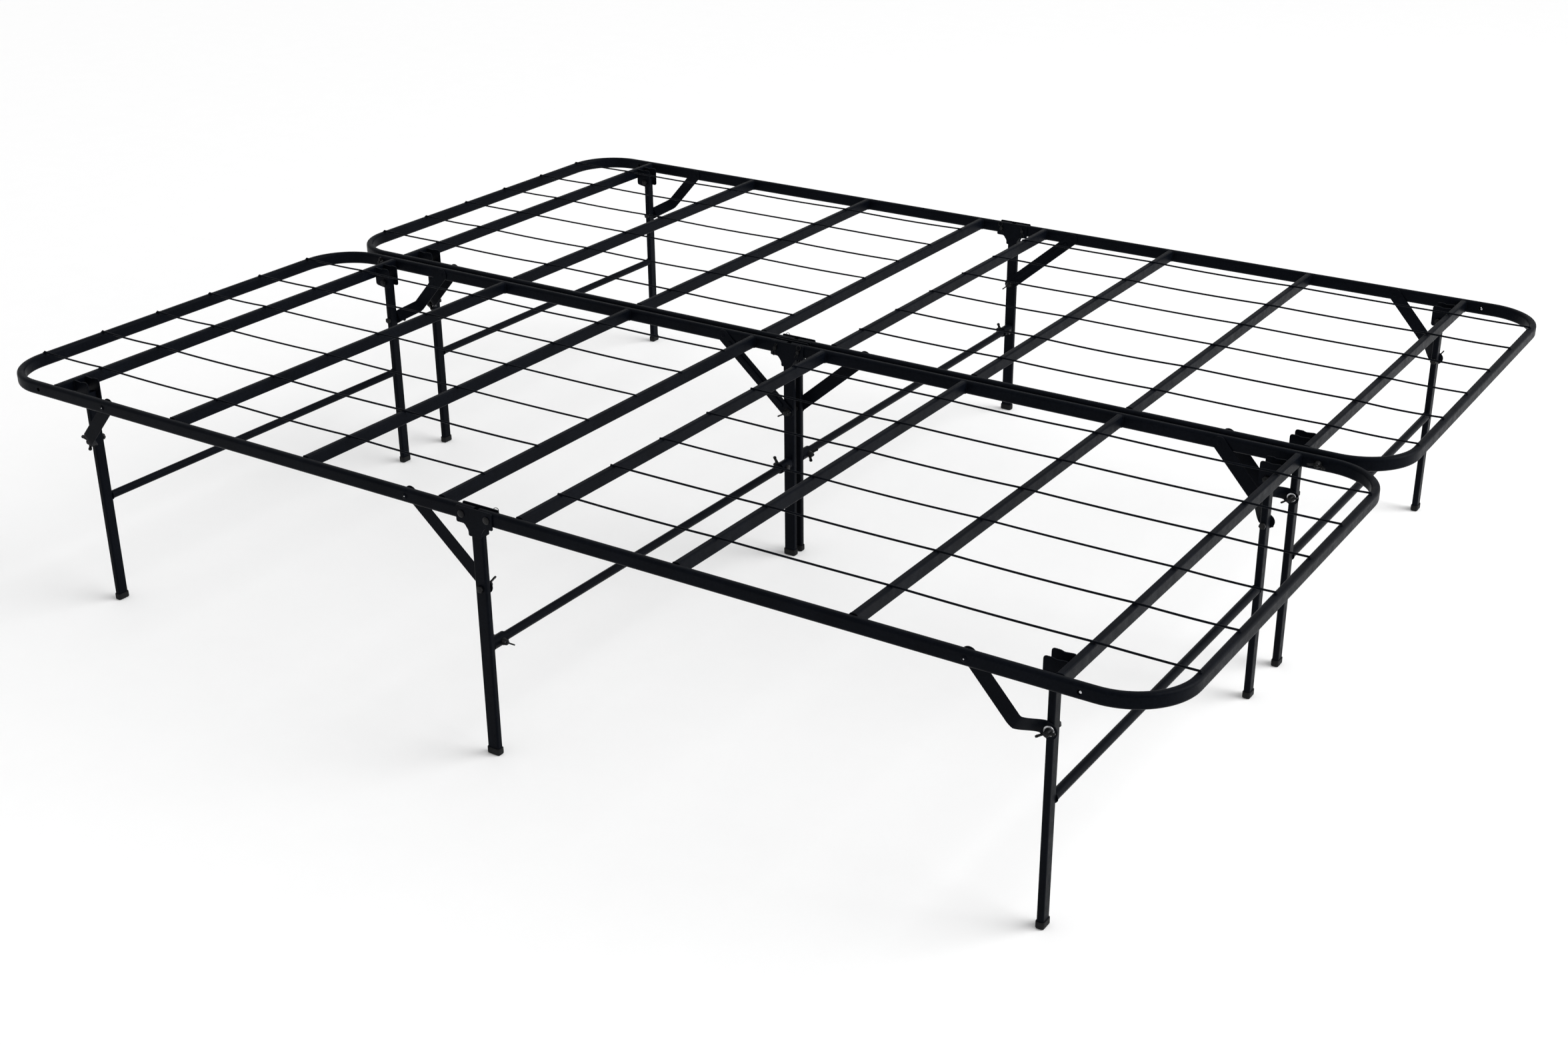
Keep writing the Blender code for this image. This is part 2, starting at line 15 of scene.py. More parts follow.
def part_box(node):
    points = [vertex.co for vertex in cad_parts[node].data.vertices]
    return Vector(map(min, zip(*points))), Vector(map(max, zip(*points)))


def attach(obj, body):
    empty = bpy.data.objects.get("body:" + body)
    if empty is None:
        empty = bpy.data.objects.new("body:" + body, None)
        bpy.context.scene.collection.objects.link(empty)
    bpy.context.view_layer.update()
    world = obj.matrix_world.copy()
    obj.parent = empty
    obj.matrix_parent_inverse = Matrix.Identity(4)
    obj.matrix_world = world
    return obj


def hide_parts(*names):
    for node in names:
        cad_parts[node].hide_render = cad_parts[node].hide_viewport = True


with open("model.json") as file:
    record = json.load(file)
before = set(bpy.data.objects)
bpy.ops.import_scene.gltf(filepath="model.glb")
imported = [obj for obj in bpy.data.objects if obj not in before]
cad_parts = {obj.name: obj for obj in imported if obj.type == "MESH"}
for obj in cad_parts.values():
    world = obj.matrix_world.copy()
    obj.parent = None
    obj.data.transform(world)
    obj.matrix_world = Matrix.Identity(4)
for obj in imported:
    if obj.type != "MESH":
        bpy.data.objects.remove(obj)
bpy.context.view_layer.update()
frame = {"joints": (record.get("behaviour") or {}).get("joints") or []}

# ---------------------------------------------------------------- sizes and places

JOINTS = {joint["name"]: joint["pos_m"] for joint in frame["joints"]}
rail_low, rail_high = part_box("left_foot_rail")
deck_low, deck_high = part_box("left_foot_wire_deck")
_, end_bar_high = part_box("left_foot_end_bar")
legs_low, legs_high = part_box("left_foot_leg_frame")
stretcher_low, stretcher_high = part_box("left_centre_stretcher")

UNIT_W = rail_high.y - rail_low.y
UNIT_Y = -(rail_high.y + rail_low.y) / 2
END_X, RAIL_START = rail_high.x, rail_low.x
RAIL_TOP, RAIL_H = rail_high.z, rail_high.z - rail_low.z
PIN_X, PIN_Z = JOINTS["left_foot_fold"][0], JOINTS["left_foot_fold"][2]
LEG_X, LEG_PIVOT_Z = JOINTS["left_foot_leg_fold"][0], JOINTS["left_foot_leg_fold"][2]
LEG_BRACE_X = JOINTS["left_foot_outer_brace_swing"][0]
CENTRE_BRACE_X = abs(JOINTS["left_outer_centre_brace_swing"][0])
POST_LOW, POST_HIGH = legs_low.z, legs_high.z
DECK_TOP = deck_high.z
STRETCHER_Z = (stretcher_low.z + stretcher_high.z) / 2
STRETCHER_D = stretcher_high.z - stretcher_low.z
STRETCHER_HALF = (stretcher_high.y - stretcher_low.y) / 2

GAP = 0.0003  # left between two pieces that meet
WALL = 0.0012  # of every tube
RAIL_W, RAIL_R, BEND_R = 0.012, 0.0048, 0.092
BAR_W, BAR_H, BAR_R = 0.010, 0.020, 0.0028
POST_X, POST_Y, POST_R = 0.010, 0.018, 0.0028
CENTRE_X, CENTRE_Y = 0.020, 0.010
WIRE_D, WIRE_COUNT, WIRE_PITCH, WIRE_TAIL, WIRE_SINK = 0.003, 6, 0.117, 0.0035, 0.0005
SECOND_BAR_PITCH, THIRD_BAR_PITCH = 0.256, {"head": 0.261, "foot": 0.274}
HOLE_INSET, HOLE_D = 0.110, 0.0064
EAR_T, EAR_GAP, EAR_REACH, EAR_DROP = 0.002, 0.0008, 0.012, 0.036
STRIP_T, STRIP_W = 0.0016, 0.0215
BRACE_DROP, KNEE_REACH, KNEE_DROP = 0.089, 0.031, 0.0695
LEG_STRETCHER_DROP, CENTRE_BRACE_DROP = 0.190, 0.109
PLATE_T, PLATE_HALF, PLATE_LIP, PLATE_SHOULDER = 0.002, 0.0315, 0.001, 0.0135
NECK_HALF, NECK_TAPER, NECK_FLARE, NECK_DROP, WEB_DROP = 0.0112, 0.009, 0.0065, 0.030, 0.0125
SLEEVE_D, SLEEVE_LENGTH = 0.018, 0.030
FOOT_LIP, FOOT_H = 0.00125, 0.010
# The second of these lifts the bright washer off the bolt's axis, so its rim shows above the wing nut as a
# painted glint.
WASHER_T, WASHER_GLINT_RISE = 0.0009, 0.0009
NUGGET_ASIDE, NUGGET_SINK = 0.0011, 0.0009

INSIDE = RAIL_W + GAP  # of a rail, from its outside face
NUT_FACE = INSIDE + STRIP_T
LEG_IN = UNIT_W / 2 - (legs_high.y - legs_low.y) / 2 + POST_Y / 2
ACROSS = UNIT_W / 2 - LEG_IN
TAB_Y = LEG_IN - POST_Y / 2 - GAP - STRIP_T
EARS_OUT = POST_Y / 2 + EAR_GAP + EAR_T
INNER_BAR_X = deck_low.x + BAR_W / 2
END_BAR_X = end_bar_high.x - BAR_W / 2
BAR_X = {half: (INNER_BAR_X, INNER_BAR_X + SECOND_BAR_PITCH, END_BAR_X - pitch)
         for half, pitch in THIRD_BAR_PITCH.items()}
BAR_TOP = DECK_TOP - WIRE_D + WIRE_SINK
WIRE_Z = DECK_TOP - WIRE_D / 2
HOLE_X = END_X - HOLE_INSET
LEG_STRETCHER_Z = PIN_Z - LEG_STRETCHER_DROP
LEG_BOLT_Z = PIN_Z - BRACE_DROP
CENTRE_BRACE_Z = PIN_Z - CENTRE_BRACE_DROP

UP, ALONG, INWARD, OUTWARD = (0, 0, 1), (1, 0, 0), (0, 1, 0), (0, -1, 0)
HALVES = {"head": -1, "foot": 1}
SIDES = {"outer": -1, "inner": 1}
UNITS = {"left": -1, "right": 1}
COAT_SLOT, ZINC_SLOT, PLASTIC_SLOT = "black_powder_coat", "black_zinc", "black_plastic"


def half_place(unit, half):
    """Space of a deck half: X outward, Y across from the unit's middle, outer side at -Y."""
    u, h = UNITS[unit], HALVES[half]
    return Matrix(((h, 0, 0, 0), (0, -u, 0, u * UNIT_Y), (0, 0, 1, 0), (0, 0, 0, 1)))


def side_place(unit, half, side):
    """Space of one corner: X outward, Y inboard from the rail's outside face."""
    edge = SIDES[side] * UNIT_W / 2
    return half_place(unit, half) @ Matrix(
        ((1, 0, 0, 0), (0, -SIDES[side], 0, edge), (0, 0, 1, 0), (0, 0, 0, 1)))


# ---------------------------------------------------------------- finishes


class Tree:
    """Adds nodes to a node tree, with each input given by name or number as a value or a link."""

    def __init__(self, tree):
        self.tree = tree

    def add(self, kind, inputs=None, **settings):
        node = self.tree.nodes.new(kind)
        for name, value in settings.items():
            setattr(node, name, value)
        for name, value in (inputs or {}).items():
            socket = node.inputs[name]
            if isinstance(value, bpy.types.NodeSocket):
                self.tree.links.new(value, socket)
            else:
                socket.default_value = value
        return node


def noise(nodes, coordinates, scale, detail=3.0, roughness=0.55):
    return nodes.add("ShaderNodeTexNoise", {"Vector": coordinates, "Scale": scale, "Detail": detail,
                                            "Roughness": roughness}).outputs["Fac"]


def ramp(nodes, factor, low, high, value_low, value_high):
    """The factor from low to high, spread over two values."""
    return nodes.add("ShaderNodeMapRange", {"Value": factor, "From Min": low, "From Max": high,
                                            "To Min": value_low, "To Max": value_high}).outputs[0]


def blended(nodes, factor, first, second):
    return nodes.add("ShaderNodeMix", {"Factor": factor, 6: (*first, 1), 7: (*second, 1)},
                     data_type="RGBA").outputs[2]


def finish(name, colours, roughness, metallic=0.0, specular=0.5, peel=(900, 0.1), streak=(1, 1, 1),
           fleck=None, coat=0.0):
    """A finish whose tone, gloss and fine relief all vary, from two colours and two roughnesses."""
    made = bpy.data.materials.new(name)
    made.use_nodes = True
    nodes = Tree(made.node_tree)
    shader = made.node_tree.nodes["Principled BSDF"]
    shader.inputs["Metallic"].default_value = metallic
    shader.inputs["Specular IOR Level"].default_value = specular
    shader.inputs["Coat Weight"].default_value = coat
    shader.inputs["Coat Roughness"].default_value = 0.25
    where = nodes.add("ShaderNodeTexCoord").outputs["Object"]
    along = nodes.add("ShaderNodeMapping", {"Vector": where, "Scale": streak}).outputs[0]
    broad = noise(nodes, where, 14, 4)
    cloud = noise(nodes, along, 260, 4, 0.6)
    tone = nodes.add("ShaderNodeMath", {0: broad, 1: cloud}, operation="MULTIPLY").outputs[0]
    colour = blended(nodes, ramp(nodes, tone, 0.12, 0.38, 0, 1), *colours)
    if fleck:
        dust = ramp(nodes, noise(nodes, where, 2100, 1), 0.70, 0.78, 0, 0.35)
        mixed = nodes.add("ShaderNodeMix", {"Factor": dust, 6: colour, 7: (*fleck, 1)}, data_type="RGBA")
        colour = mixed.outputs[2]
    made.node_tree.links.new(colour, shader.inputs["Base Color"])
    gloss = ramp(nodes, noise(nodes, along, 75, 5, 0.65), 0.3, 0.7, *roughness)
    made.node_tree.links.new(gloss, shader.inputs["Roughness"])
    fine = noise(nodes, along, peel[0], 2)
    finer = noise(nodes, where, peel[0] * 3.1, 1)
    relief = nodes.add("ShaderNodeMath", {0: fine, 1: 0.75, 2: finer}, operation="MULTIPLY_ADD").outputs[0]
    bump = nodes.add("ShaderNodeBump", {"Height": relief, "Strength": peel[1], "Distance": 0.0004})
    made.node_tree.links.new(bump.outputs[0], shader.inputs["Normal"])
    return made


POWDER_COAT = finish("satin_black_powder_coat", ((0.0012, 0.0018, 0.0032), (0.0030, 0.0040, 0.0066)),
                     (0.32, 0.48), specular=0.030, peel=(780, 0.22), fleck=(0.014, 0.017, 0.022))
BLACK_ZINC = finish("black_zinc_plate", ((0.0060, 0.0064, 0.0072), (0.0150, 0.0152, 0.0160)),
                    (0.30, 0.48), metallic=0.55, specular=0.15, peel=(1500, 0.12))
BARE_ZINC = finish("bright_zinc_plate", ((0.42, 0.43, 0.45), (0.66, 0.66, 0.67)),
                   (0.22, 0.42), metallic=1.0, peel=(1900, 0.08), streak=(1, 6, 1))
PLASTIC = finish("moulded_black_plastic", ((0.0040, 0.0044, 0.0050), (0.0080, 0.0084, 0.0090)),
                 (0.52, 0.70), specular=0.12, peel=(2400, 0.30), fleck=(0.018, 0.018, 0.019))
STUDIO_FLOOR = finish("matt_studio_floor", ((0.895, 0.895, 0.895), (0.905, 0.905, 0.905)),
                      (0.82, 0.92), specular=0.1, peel=(40, 0.004))


# ---------------------------------------------------------------- trees for what repeats


def new_tree(name, inputs):
    """A Geometry Nodes tree with these named inputs, as its nodes and its input node's outputs."""
    tree = bpy.data.node_groups.new(name, "GeometryNodeTree")
    for label, kind in [("Geometry", "NodeSocketGeometry"), *inputs]:
        tree.interface.new_socket(label, in_out="INPUT", socket_type=kind)
    tree.interface.new_socket("Geometry", in_out="OUTPUT", socket_type="NodeSocketGeometry")
    nodes = Tree(tree)
    return nodes, nodes.add("NodeGroupInput").outputs


def ended(nodes, geometry, material):
    """Ends a tree in plain geometry of one finish."""
    smooth = nodes.add("GeometryNodeSetShadeSmooth", {"Geometry": geometry}).outputs[0]
    plain = nodes.add("GeometryNodeRealizeInstances", {"Geometry": smooth}).outputs[0]
    dressed = nodes.add("GeometryNodeSetMaterial", {"Geometry": plain, "Material": material}).outputs[0]
    nodes.add("NodeGroupOutput", {0: dressed})
    return nodes.tree


def sums(nodes, operation, *values):
    return nodes.add("ShaderNodeMath", dict(enumerate(values)), operation=operation).outputs[0]


def tube_tree():
    """Sweeps a rounded rectangle along a path, with the path's corners bent to a radius."""
    nodes, given = new_tree("bent_tube", [
        ("Width", "NodeSocketFloat"), ("Height", "NodeSocketFloat"), ("Corner Radius", "NodeSocketFloat"),
        ("Corner Steps", "NodeSocketInt"), ("Bend Radius", "NodeSocketFloat"),
        ("Bend Steps", "NodeSocketInt"), ("Finish", "NodeSocketMaterial")])
    line = nodes.add("GeometryNodeMeshToCurve", {"Mesh": given["Geometry"]}).outputs[0]
    bent = nodes.add("GeometryNodeFilletCurve", {"Curve": line, "Radius": given["Bend Radius"],
                                                 "Count": given["Bend Steps"]}, mode="POLY").outputs[0]
    level = nodes.add("GeometryNodeSetCurveNormal", {"Curve": bent}, mode="Z_UP").outputs[0]
    box = nodes.add("GeometryNodeCurvePrimitiveQuadrilateral",
                    {"Width": given["Width"], "Height": given["Height"]}).outputs[0]
    section = nodes.add("GeometryNodeFilletCurve", {"Curve": box, "Radius": given["Corner Radius"],
                                                    "Count": given["Corner Steps"]}, mode="POLY").outputs[0]
    skin = nodes.add("GeometryNodeCurveToMesh", {"Curve": level, "Profile Curve": section}).outputs[0]
    return ended(nodes, skin, given["Finish"])


def wires_tree():
    """Parallel wires over supports, each hanging a little, and never quite straight, between them."""
    nodes, given = new_tree("deck_wires", [
        ("Count", "NodeSocketInt"), ("Pitch", "NodeSocketFloat"), ("Diameter", "NodeSocketFloat"),
        ("Steps", "NodeSocketInt"), ("Sag", "NodeSocketFloat"), ("Sway", "NodeSocketFloat"),
        ("Seed", "NodeSocketInt"), ("Finish", "NodeSocketMaterial")])
    line = nodes.add("GeometryNodeMeshToCurve", {"Mesh": given["Geometry"]}).outputs[0]
    cuts = sums(nodes, "SUBTRACT", given["Steps"], 1)
    fine = nodes.add("GeometryNodeSubdivideCurve", {"Curve": line, "Cuts": cuts}).outputs[0]
    first = sums(nodes, "MULTIPLY", sums(nodes, "SUBTRACT", given["Count"], 1), -0.5)
    start = nodes.add("ShaderNodeCombineXYZ",
                      {"Y": sums(nodes, "MULTIPLY", first, given["Pitch"])}).outputs[0]
    stride = nodes.add("ShaderNodeCombineXYZ", {"Y": given["Pitch"]}).outputs[0]
    row = nodes.add("GeometryNodeMeshLine", {"Count": given["Count"], "Start Location": start,
                                             "Offset": stride}).outputs[0]
    laid = nodes.add("GeometryNodeInstanceOnPoints", {"Points": row, "Instance": fine}).outputs[0]
    plain = nodes.add("GeometryNodeRealizeInstances", {"Geometry": laid}).outputs[0]
    index = nodes.add("GeometryNodeCurveOfPoint").outputs
    span = sums(nodes, "DIVIDE", index["Index in Curve"], given["Steps"])
    share = sums(nodes, "FRACT", span)
    hang = sums(nodes, "MULTIPLY", sums(nodes, "MULTIPLY", share, sums(nodes, "SUBTRACT", 1, share)), 4)
    which = sums(nodes, "MULTIPLY_ADD", index["Curve Index"], 16, sums(nodes, "FLOOR", span))
    loose = nodes.add("FunctionNodeRandomValue", {"ID": which, "Seed": given["Seed"], 2: 0.35, 3: 1.5})
    astray = nodes.add("FunctionNodeRandomValue", {"ID": which, "Seed": sums(nodes, "ADD", given["Seed"], 7),
                                                   2: -1.0, 3: 1.0})
    down = sums(nodes, "MULTIPLY", sums(nodes, "MULTIPLY", hang, loose.outputs[1]),
                sums(nodes, "MULTIPLY", given["Sag"], -1))
    aside = sums(nodes, "MULTIPLY", sums(nodes, "MULTIPLY", hang, astray.outputs[1]), given["Sway"])
    shift = nodes.add("ShaderNodeCombineXYZ", {"Y": aside, "Z": down}).outputs[0]
    hung = nodes.add("GeometryNodeSetPosition", {"Geometry": plain, "Offset": shift}).outputs[0]
    round_section = nodes.add("GeometryNodeCurvePrimitiveCircle", {
        "Resolution": 10, "Radius": sums(nodes, "MULTIPLY", given["Diameter"], 0.5)}).outputs[0]
    skin = nodes.add("GeometryNodeCurveToMesh", {"Curve": hung, "Profile Curve": round_section,
                                                 "Fill Caps": True}).outputs[0]
    return ended(nodes, skin, given["Finish"])


def beads_tree():
    """Lays overlapping beads of weld along the lines where two pieces meet."""
    nodes, given = new_tree("weld_beads", [
        ("Pitch", "NodeSocketFloat"), ("Bead Size", "NodeSocketFloat"), ("Seed", "NodeSocketInt"),
        ("Finish", "NodeSocketMaterial")])
    line = nodes.add("GeometryNodeMeshToCurve", {"Mesh": given["Geometry"]}).outputs[0]
    dots = nodes.add("GeometryNodeResampleCurve", {"Curve": line, "Length": given["Pitch"]},
                     mode="LENGTH").outputs[0]
    along = nodes.add("GeometryNodeInputTangent").outputs[0]
    turn = nodes.add("FunctionNodeAlignRotationToVector", {"Vector": along}, axis="X").outputs[0]
    uneven = nodes.add("FunctionNodeRandomValue", {"Seed": given["Seed"], 2: 0.82, 3: 1.12}).outputs[1]
    blob = nodes.add("GeometryNodeMeshUVSphere", {"Segments": 8, "Rings": 5, "Radius": 0.5}).outputs[0]
    size = nodes.add("ShaderNodeCombineXYZ", {0: sums(nodes, "MULTIPLY", uneven, 1.05), 1: uneven,
                                              2: uneven}).outputs[0]
    scale = nodes.add("ShaderNodeVectorMath", {0: size, "Scale": given["Bead Size"]},
                      operation="SCALE").outputs[0]
    set_down = nodes.add("GeometryNodeInstanceOnPoints", {"Points": dots, "Instance": blob,
                                                          "Rotation": turn, "Scale": scale}).outputs[0]
    return ended(nodes, set_down, given["Finish"])


def fasteners_tree():
    """Sets a copy of a shape at every point, turned as the point's own attribute says."""
    nodes, given = new_tree("set_fasteners", [("Shape", "NodeSocketObject"),
                                              ("Finish", "NodeSocketMaterial")])
    shape = nodes.add("GeometryNodeObjectInfo", {"Object": given["Shape"]}).outputs["Geometry"]
    turn = nodes.add("GeometryNodeInputNamedAttribute", {"Name": "turn"}, data_type="FLOAT_VECTOR")
    rotation = nodes.add("FunctionNodeEulerToRotation", {0: turn.outputs[0]}).outputs[0]
    placed = nodes.add("GeometryNodeInstanceOnPoints", {"Points": given["Geometry"], "Instance": shape,
                                                        "Rotation": rotation}).outputs[0]
    return ended(nodes, placed, given["Finish"])


TUBE, WIRES, BEADS, FASTENERS = tube_tree(), wires_tree(), beads_tree(), fasteners_tree()


def grown(tree, base, **inputs):
    """The plain mesh that a tree makes of a base mesh."""
    seed = bpy.data.objects.new("base", base)
    bpy.context.scene.collection.objects.link(seed)
    modifier = seed.modifiers.new("tree", "NODES")
    modifier.node_group = tree
    names = {item.name.lower().replace(" ", "_"): item.identifier
             for item in tree.interface.items_tree if item.in_out == "INPUT"}
    for name, value in inputs.items():
        modifier[names[name]] = value
    made = settled(seed)
    modifier.node_group = None
    bpy.data.objects.remove(seed, do_unlink=True)
    return made


# ---------------------------------------------------------------- shapes


def settled(holder):
    """The evaluated mesh of an object, as a plain mesh of its own."""
    bpy.context.view_layer.update()
    graph = bpy.context.evaluated_depsgraph_get()
    return bpy.data.meshes.new_from_object(holder.evaluated_get(graph))


def through(mesh, *modifiers):
    """A mesh after these modifiers, each given as its type and its settings."""
    holder = bpy.data.objects.new("blank", mesh)
    bpy.context.scene.collection.objects.link(holder)
    for kind, settings in modifiers:
        modifier = holder.modifiers.new(kind.lower(), kind)
        for name, value in settings.items():
            setattr(modifier, name, value)
    made = settled(holder)
    bpy.data.objects.remove(holder, do_unlink=True)
    return made


def tidied(mesh, merge=1e-6):
    """Closes seams, turns faces outward, and returns the mesh."""
    shape = bmesh.new()
    shape.from_mesh(mesh)
    bmesh.ops.remove_doubles(shape, verts=shape.verts, dist=merge)
    bmesh.ops.recalc_face_normals(shape, faces=shape.faces)
    if shape.calc_volume(signed=True) < 0:
        bmesh.ops.reverse_faces(shape, faces=shape.faces)
    shape.to_mesh(mesh)
    shape.free()
    return mesh


def placed(mesh, place):
    """A copy of a mesh moved by a matrix, with its faces still outward."""
    made = mesh.copy()
    made.transform(place)
    if place.determinant() < 0:
        made.flip_normals()
    return made


def at(x=0.0, y=0.0, z=0.0):
    return Matrix.Translation((x, y, z))


def together(*meshes):
    shape = bmesh.new()
    for mesh in meshes:
        shape.from_mesh(mesh)
    made = bpy.data.meshes.new("shape")
    shape.to_mesh(made)
    shape.free()
    return made


def lines(*loops):
    """A mesh of edges only: each loop is its points and whether it closes."""
    points, edges = [], []
    for loop, closed in loops:
        first = len(points)
        points += [tuple(point) for point in loop]
        edges += [(first + k, first + k + 1) for k in range(len(loop) - 1)]
        if closed:
            edges.append((first + len(loop) - 1, first))
    made = bpy.data.meshes.new("lines")
    made.from_pydata(points, edges, [])
    return made


def tube(path, width, height, radius, wall=WALL, bend=0.0, bend_steps=1):
    """A hollow tube along a level path: width across it, height up it."""
    skin = grown(TUBE, lines((path, False)), width=width, height=height, corner_radius=radius,
                 corner_steps=5, bend_radius=bend, bend_steps=bend_steps, finish=POWDER_COAT)
    skin = tidied(skin, 1e-5)
    return tidied(through(skin, ("SOLIDIFY", dict(thickness=wall, offset=-1, use_even_offset=True))))


def bar(half, width, height, radius):
    """A straight hollow tube along Y."""
    return tube([(0, -half, 0), (0, half, 0)], width, height, radius)


def post(low, high, width, depth, radius):
    """A straight hollow tube along Z, its width along X and its depth along Y."""
    level = tube([(low, 0, 0), (high, 0, 0)], depth, width, radius)
    return placed(level, Matrix(((0, 0, -1, 0), (0, 1, 0, 0), (1, 0, 0, 0), (0, 0, 0, 1))))


def pipe(half, outer, wall):
    """A straight round tube along Y."""
    return tube([(0, -half, 0), (0, half, 0)], outer, outer, outer / 2 * 0.999, wall)


def eased(points, radius, steps=4):
    """A closed outline with each corner rounded off."""
    made = []
    count = len(points)
    for k, corner in enumerate(points):
        here = Vector(corner)
        before, after = Vector(points[k - 1]) - here, Vector(points[(k + 1) % count]) - here
        reach = min(radius, before.length * 0.49, after.length * 0.49)
        a, b = here + before.normalized() * reach, here + after.normalized() * reach
        for step in range(steps + 1):
            t = step / steps
            made.append(tuple(a * (1 - t) ** 2 + here * 2 * t * (1 - t) + b * t ** 2))
    return made


def circle(diameter, centre=(0.0, 0.0), steps=24):
    return [(centre[0] + diameter / 2 * math.cos(2 * math.pi * k / steps),
             centre[1] + diameter / 2 * math.sin(2 * math.pi * k / steps)) for k in range(steps)]


def slab(loops, low, high, edge=0.0003):
    """A flat shape with softened edges, its first loop the outline and the rest holes."""
    data = bpy.data.curves.new("outline", "CURVE")
    data.dimensions = "2D"
    data.fill_mode = "BOTH"
    data.extrude = (high - low) / 2 - edge
    data.bevel_depth = edge
    data.bevel_resolution = 1
    data.offset = -edge
    for loop in loops:
        spline = data.splines.new("POLY")
        spline.points.add(len(loop) - 1)
        for point, spot in zip(spline.points, loop):
            point.co = (*spot, 0.0, 1.0)
        spline.use_cyclic_u = True
    drawn = bpy.data.objects.new("outline", data)
    bpy.context.scene.collection.objects.link(drawn)
    made = settled(drawn)
    bpy.data.objects.remove(drawn, do_unlink=True)
    made.transform(at(z=(low + high) / 2))
    return tidied(made, 2e-6)


STAND = Matrix(((1, 0, 0, 0), (0, 0, 1, 0), (0, 1, 0, 0), (0, 0, 0, 1)))


def plate(loops, low, high, edge=0.0003):
    """A flat plate drawn in X and Z that fills Y from low to high."""
    return placed(slab(loops, low, high, edge), STAND)


def turned(profile, steps=24):
    """A closed shape turned about Z from (radius, height) points, bottom to top."""
    shape = bmesh.new()
    rings = []
    for radius, height in profile:
        count = steps if radius > 1e-7 else 1
        rings.append([shape.verts.new((radius * math.cos(2 * math.pi * k / count),
                                       radius * math.sin(2 * math.pi * k / count), height))
                      for k in range(count)])
    for low, high in zip(rings, rings[1:]):
        for k in range(steps):
            corners = (low[k % len(low)], low[(k + 1) % len(low)],
                       high[(k + 1) % len(high)], high[k % len(high)])
            corners = tuple(dict.fromkeys(corners))
            if len(corners) > 2:
                shape.faces.new(corners)
    made = bpy.data.meshes.new("turned")
    shape.to_mesh(made)
    shape.free()
    return tidied(made)


def bent_wire(points, diameter, closed=False):
    """A round wire along a path, with closed ends."""
    data = bpy.data.curves.new("wire", "CURVE")
    data.dimensions = "3D"
    data.bevel_depth = diameter / 2
    data.bevel_resolution = 2
    data.use_fill_caps = True
    spline = data.splines.new("POLY")
    spline.points.add(len(points) - 1)
    for point, spot in zip(spline.points, points):
        point.co = (*spot, 1.0)
    spline.use_cyclic_u = closed
    drawn = bpy.data.objects.new("wire", data)
    bpy.context.scene.collection.objects.link(drawn)
    made = settled(drawn)
    bpy.data.objects.remove(drawn, do_unlink=True)
    return tidied(made)


# ---------------------------------------------------------------- fasteners


def threaded(radius, length, pitch=0.0009, depth=0.00028):
    """A bolt's threaded end, from its seat at z = 0 to its chamfered tip."""
    profile = [(0.0, 0.0), (radius - depth, 0.0)]
    turns = int((length - 0.001) / pitch)
    for k in range(turns):
        low = k * pitch
        profile += [(radius - depth, low + pitch * 0.15), (radius, low + pitch * 0.5),
                    (radius, low + pitch * 0.62)]
    profile += [(radius - depth, turns * pitch + 0.0001), (radius - 0.0008, length), (0.0, length)]
    return turned(profile, 16)


def hex_head(across, height):
    """A hexagon head or nut with softened corners, seated at z = 0."""
    reach = across / math.sqrt(3)
    flats = [(reach * math.cos(math.pi / 3 * k), reach * math.sin(math.pi / 3 * k)) for k in range(6)]
    crown = turned([(0.0, height * 0.5), (across * 0.47, height * 0.5), (across * 0.47, height * 0.96),
                    (across * 0.40, height * 1.06), (0.0, height * 1.06)], 24)
    return together(slab((eased(flats, 0.0007, 2),), 0.0, height, 0.0005), crown)


def wing_nut():
    """A pressed wing nut seated at z = 0: a coned hub and two rounded wings."""
    hub = turned([(0.0, 0.0), (0.0056, 0.0), (0.0056, 0.0010), (0.0048, 0.0030), (0.0042, 0.0066),
                  (0.0036, 0.0072), (0.0, 0.0072)], 20)
    half = [(0.0030, 0.0008), (0.0062, 0.0018), (0.0098, 0.0058), (0.0134, 0.0066), (0.0140, 0.0098),
            (0.0122, 0.0122), (0.0096, 0.0118), (0.0072, 0.0086), (0.0034, 0.0066)]
    wings = [plate((eased([(side * x, z) for x, z in half], 0.0022),), -0.0011, 0.0011, 0.0005)
             for side in (-1, 1)]
    return together(hub, *wings)


def rivet_head(radius, height):
    """A domed rivet head with a shallow hollow at its middle, seated at z = 0."""
    return turned([(0.0, -0.0002), (radius, -0.0002), (radius, height * 0.25), (radius * 0.86, height * 0.72),
                   (radius * 0.60, height), (radius * 0.40, height), (radius * 0.32, height * 0.62),
                   (0.0, height * 0.58)], 24)


def pin_shape():
    """A hinge pin along Z: its domed head below z = 0, its shank and chamfered end above."""
    return turned([(0.0, -0.0018), (0.0034, -0.0018), (0.0048, -0.0014), (0.0055, -0.0007),
                   (0.0055, 0.0), (0.0030, 0.0), (0.0030, 0.0204), (0.0022, 0.0214), (0.0, 0.0214)], 24)


def clip_shape():
    """A spring clip through a pin's end: a round loop on two legs, standing in the X and Z plane."""
    points = [(0.0007, 0, -0.0085), (0.0006, 0, -0.003), (0.0007, 0, 0.0040)]
    for k in range(17):
        turn = math.radians(-62 + 304 * k / 16)
        points.append((0.0036 * math.cos(turn), 0, 0.0086 + 0.0042 * math.sin(turn)))
    points += [(-0.0007, 0, 0.0040), (-0.0008, 0, -0.002), (-0.0028, 0, -0.0070), (-0.0038, 0, -0.0095)]
    return bent_wire(points, 0.0010)


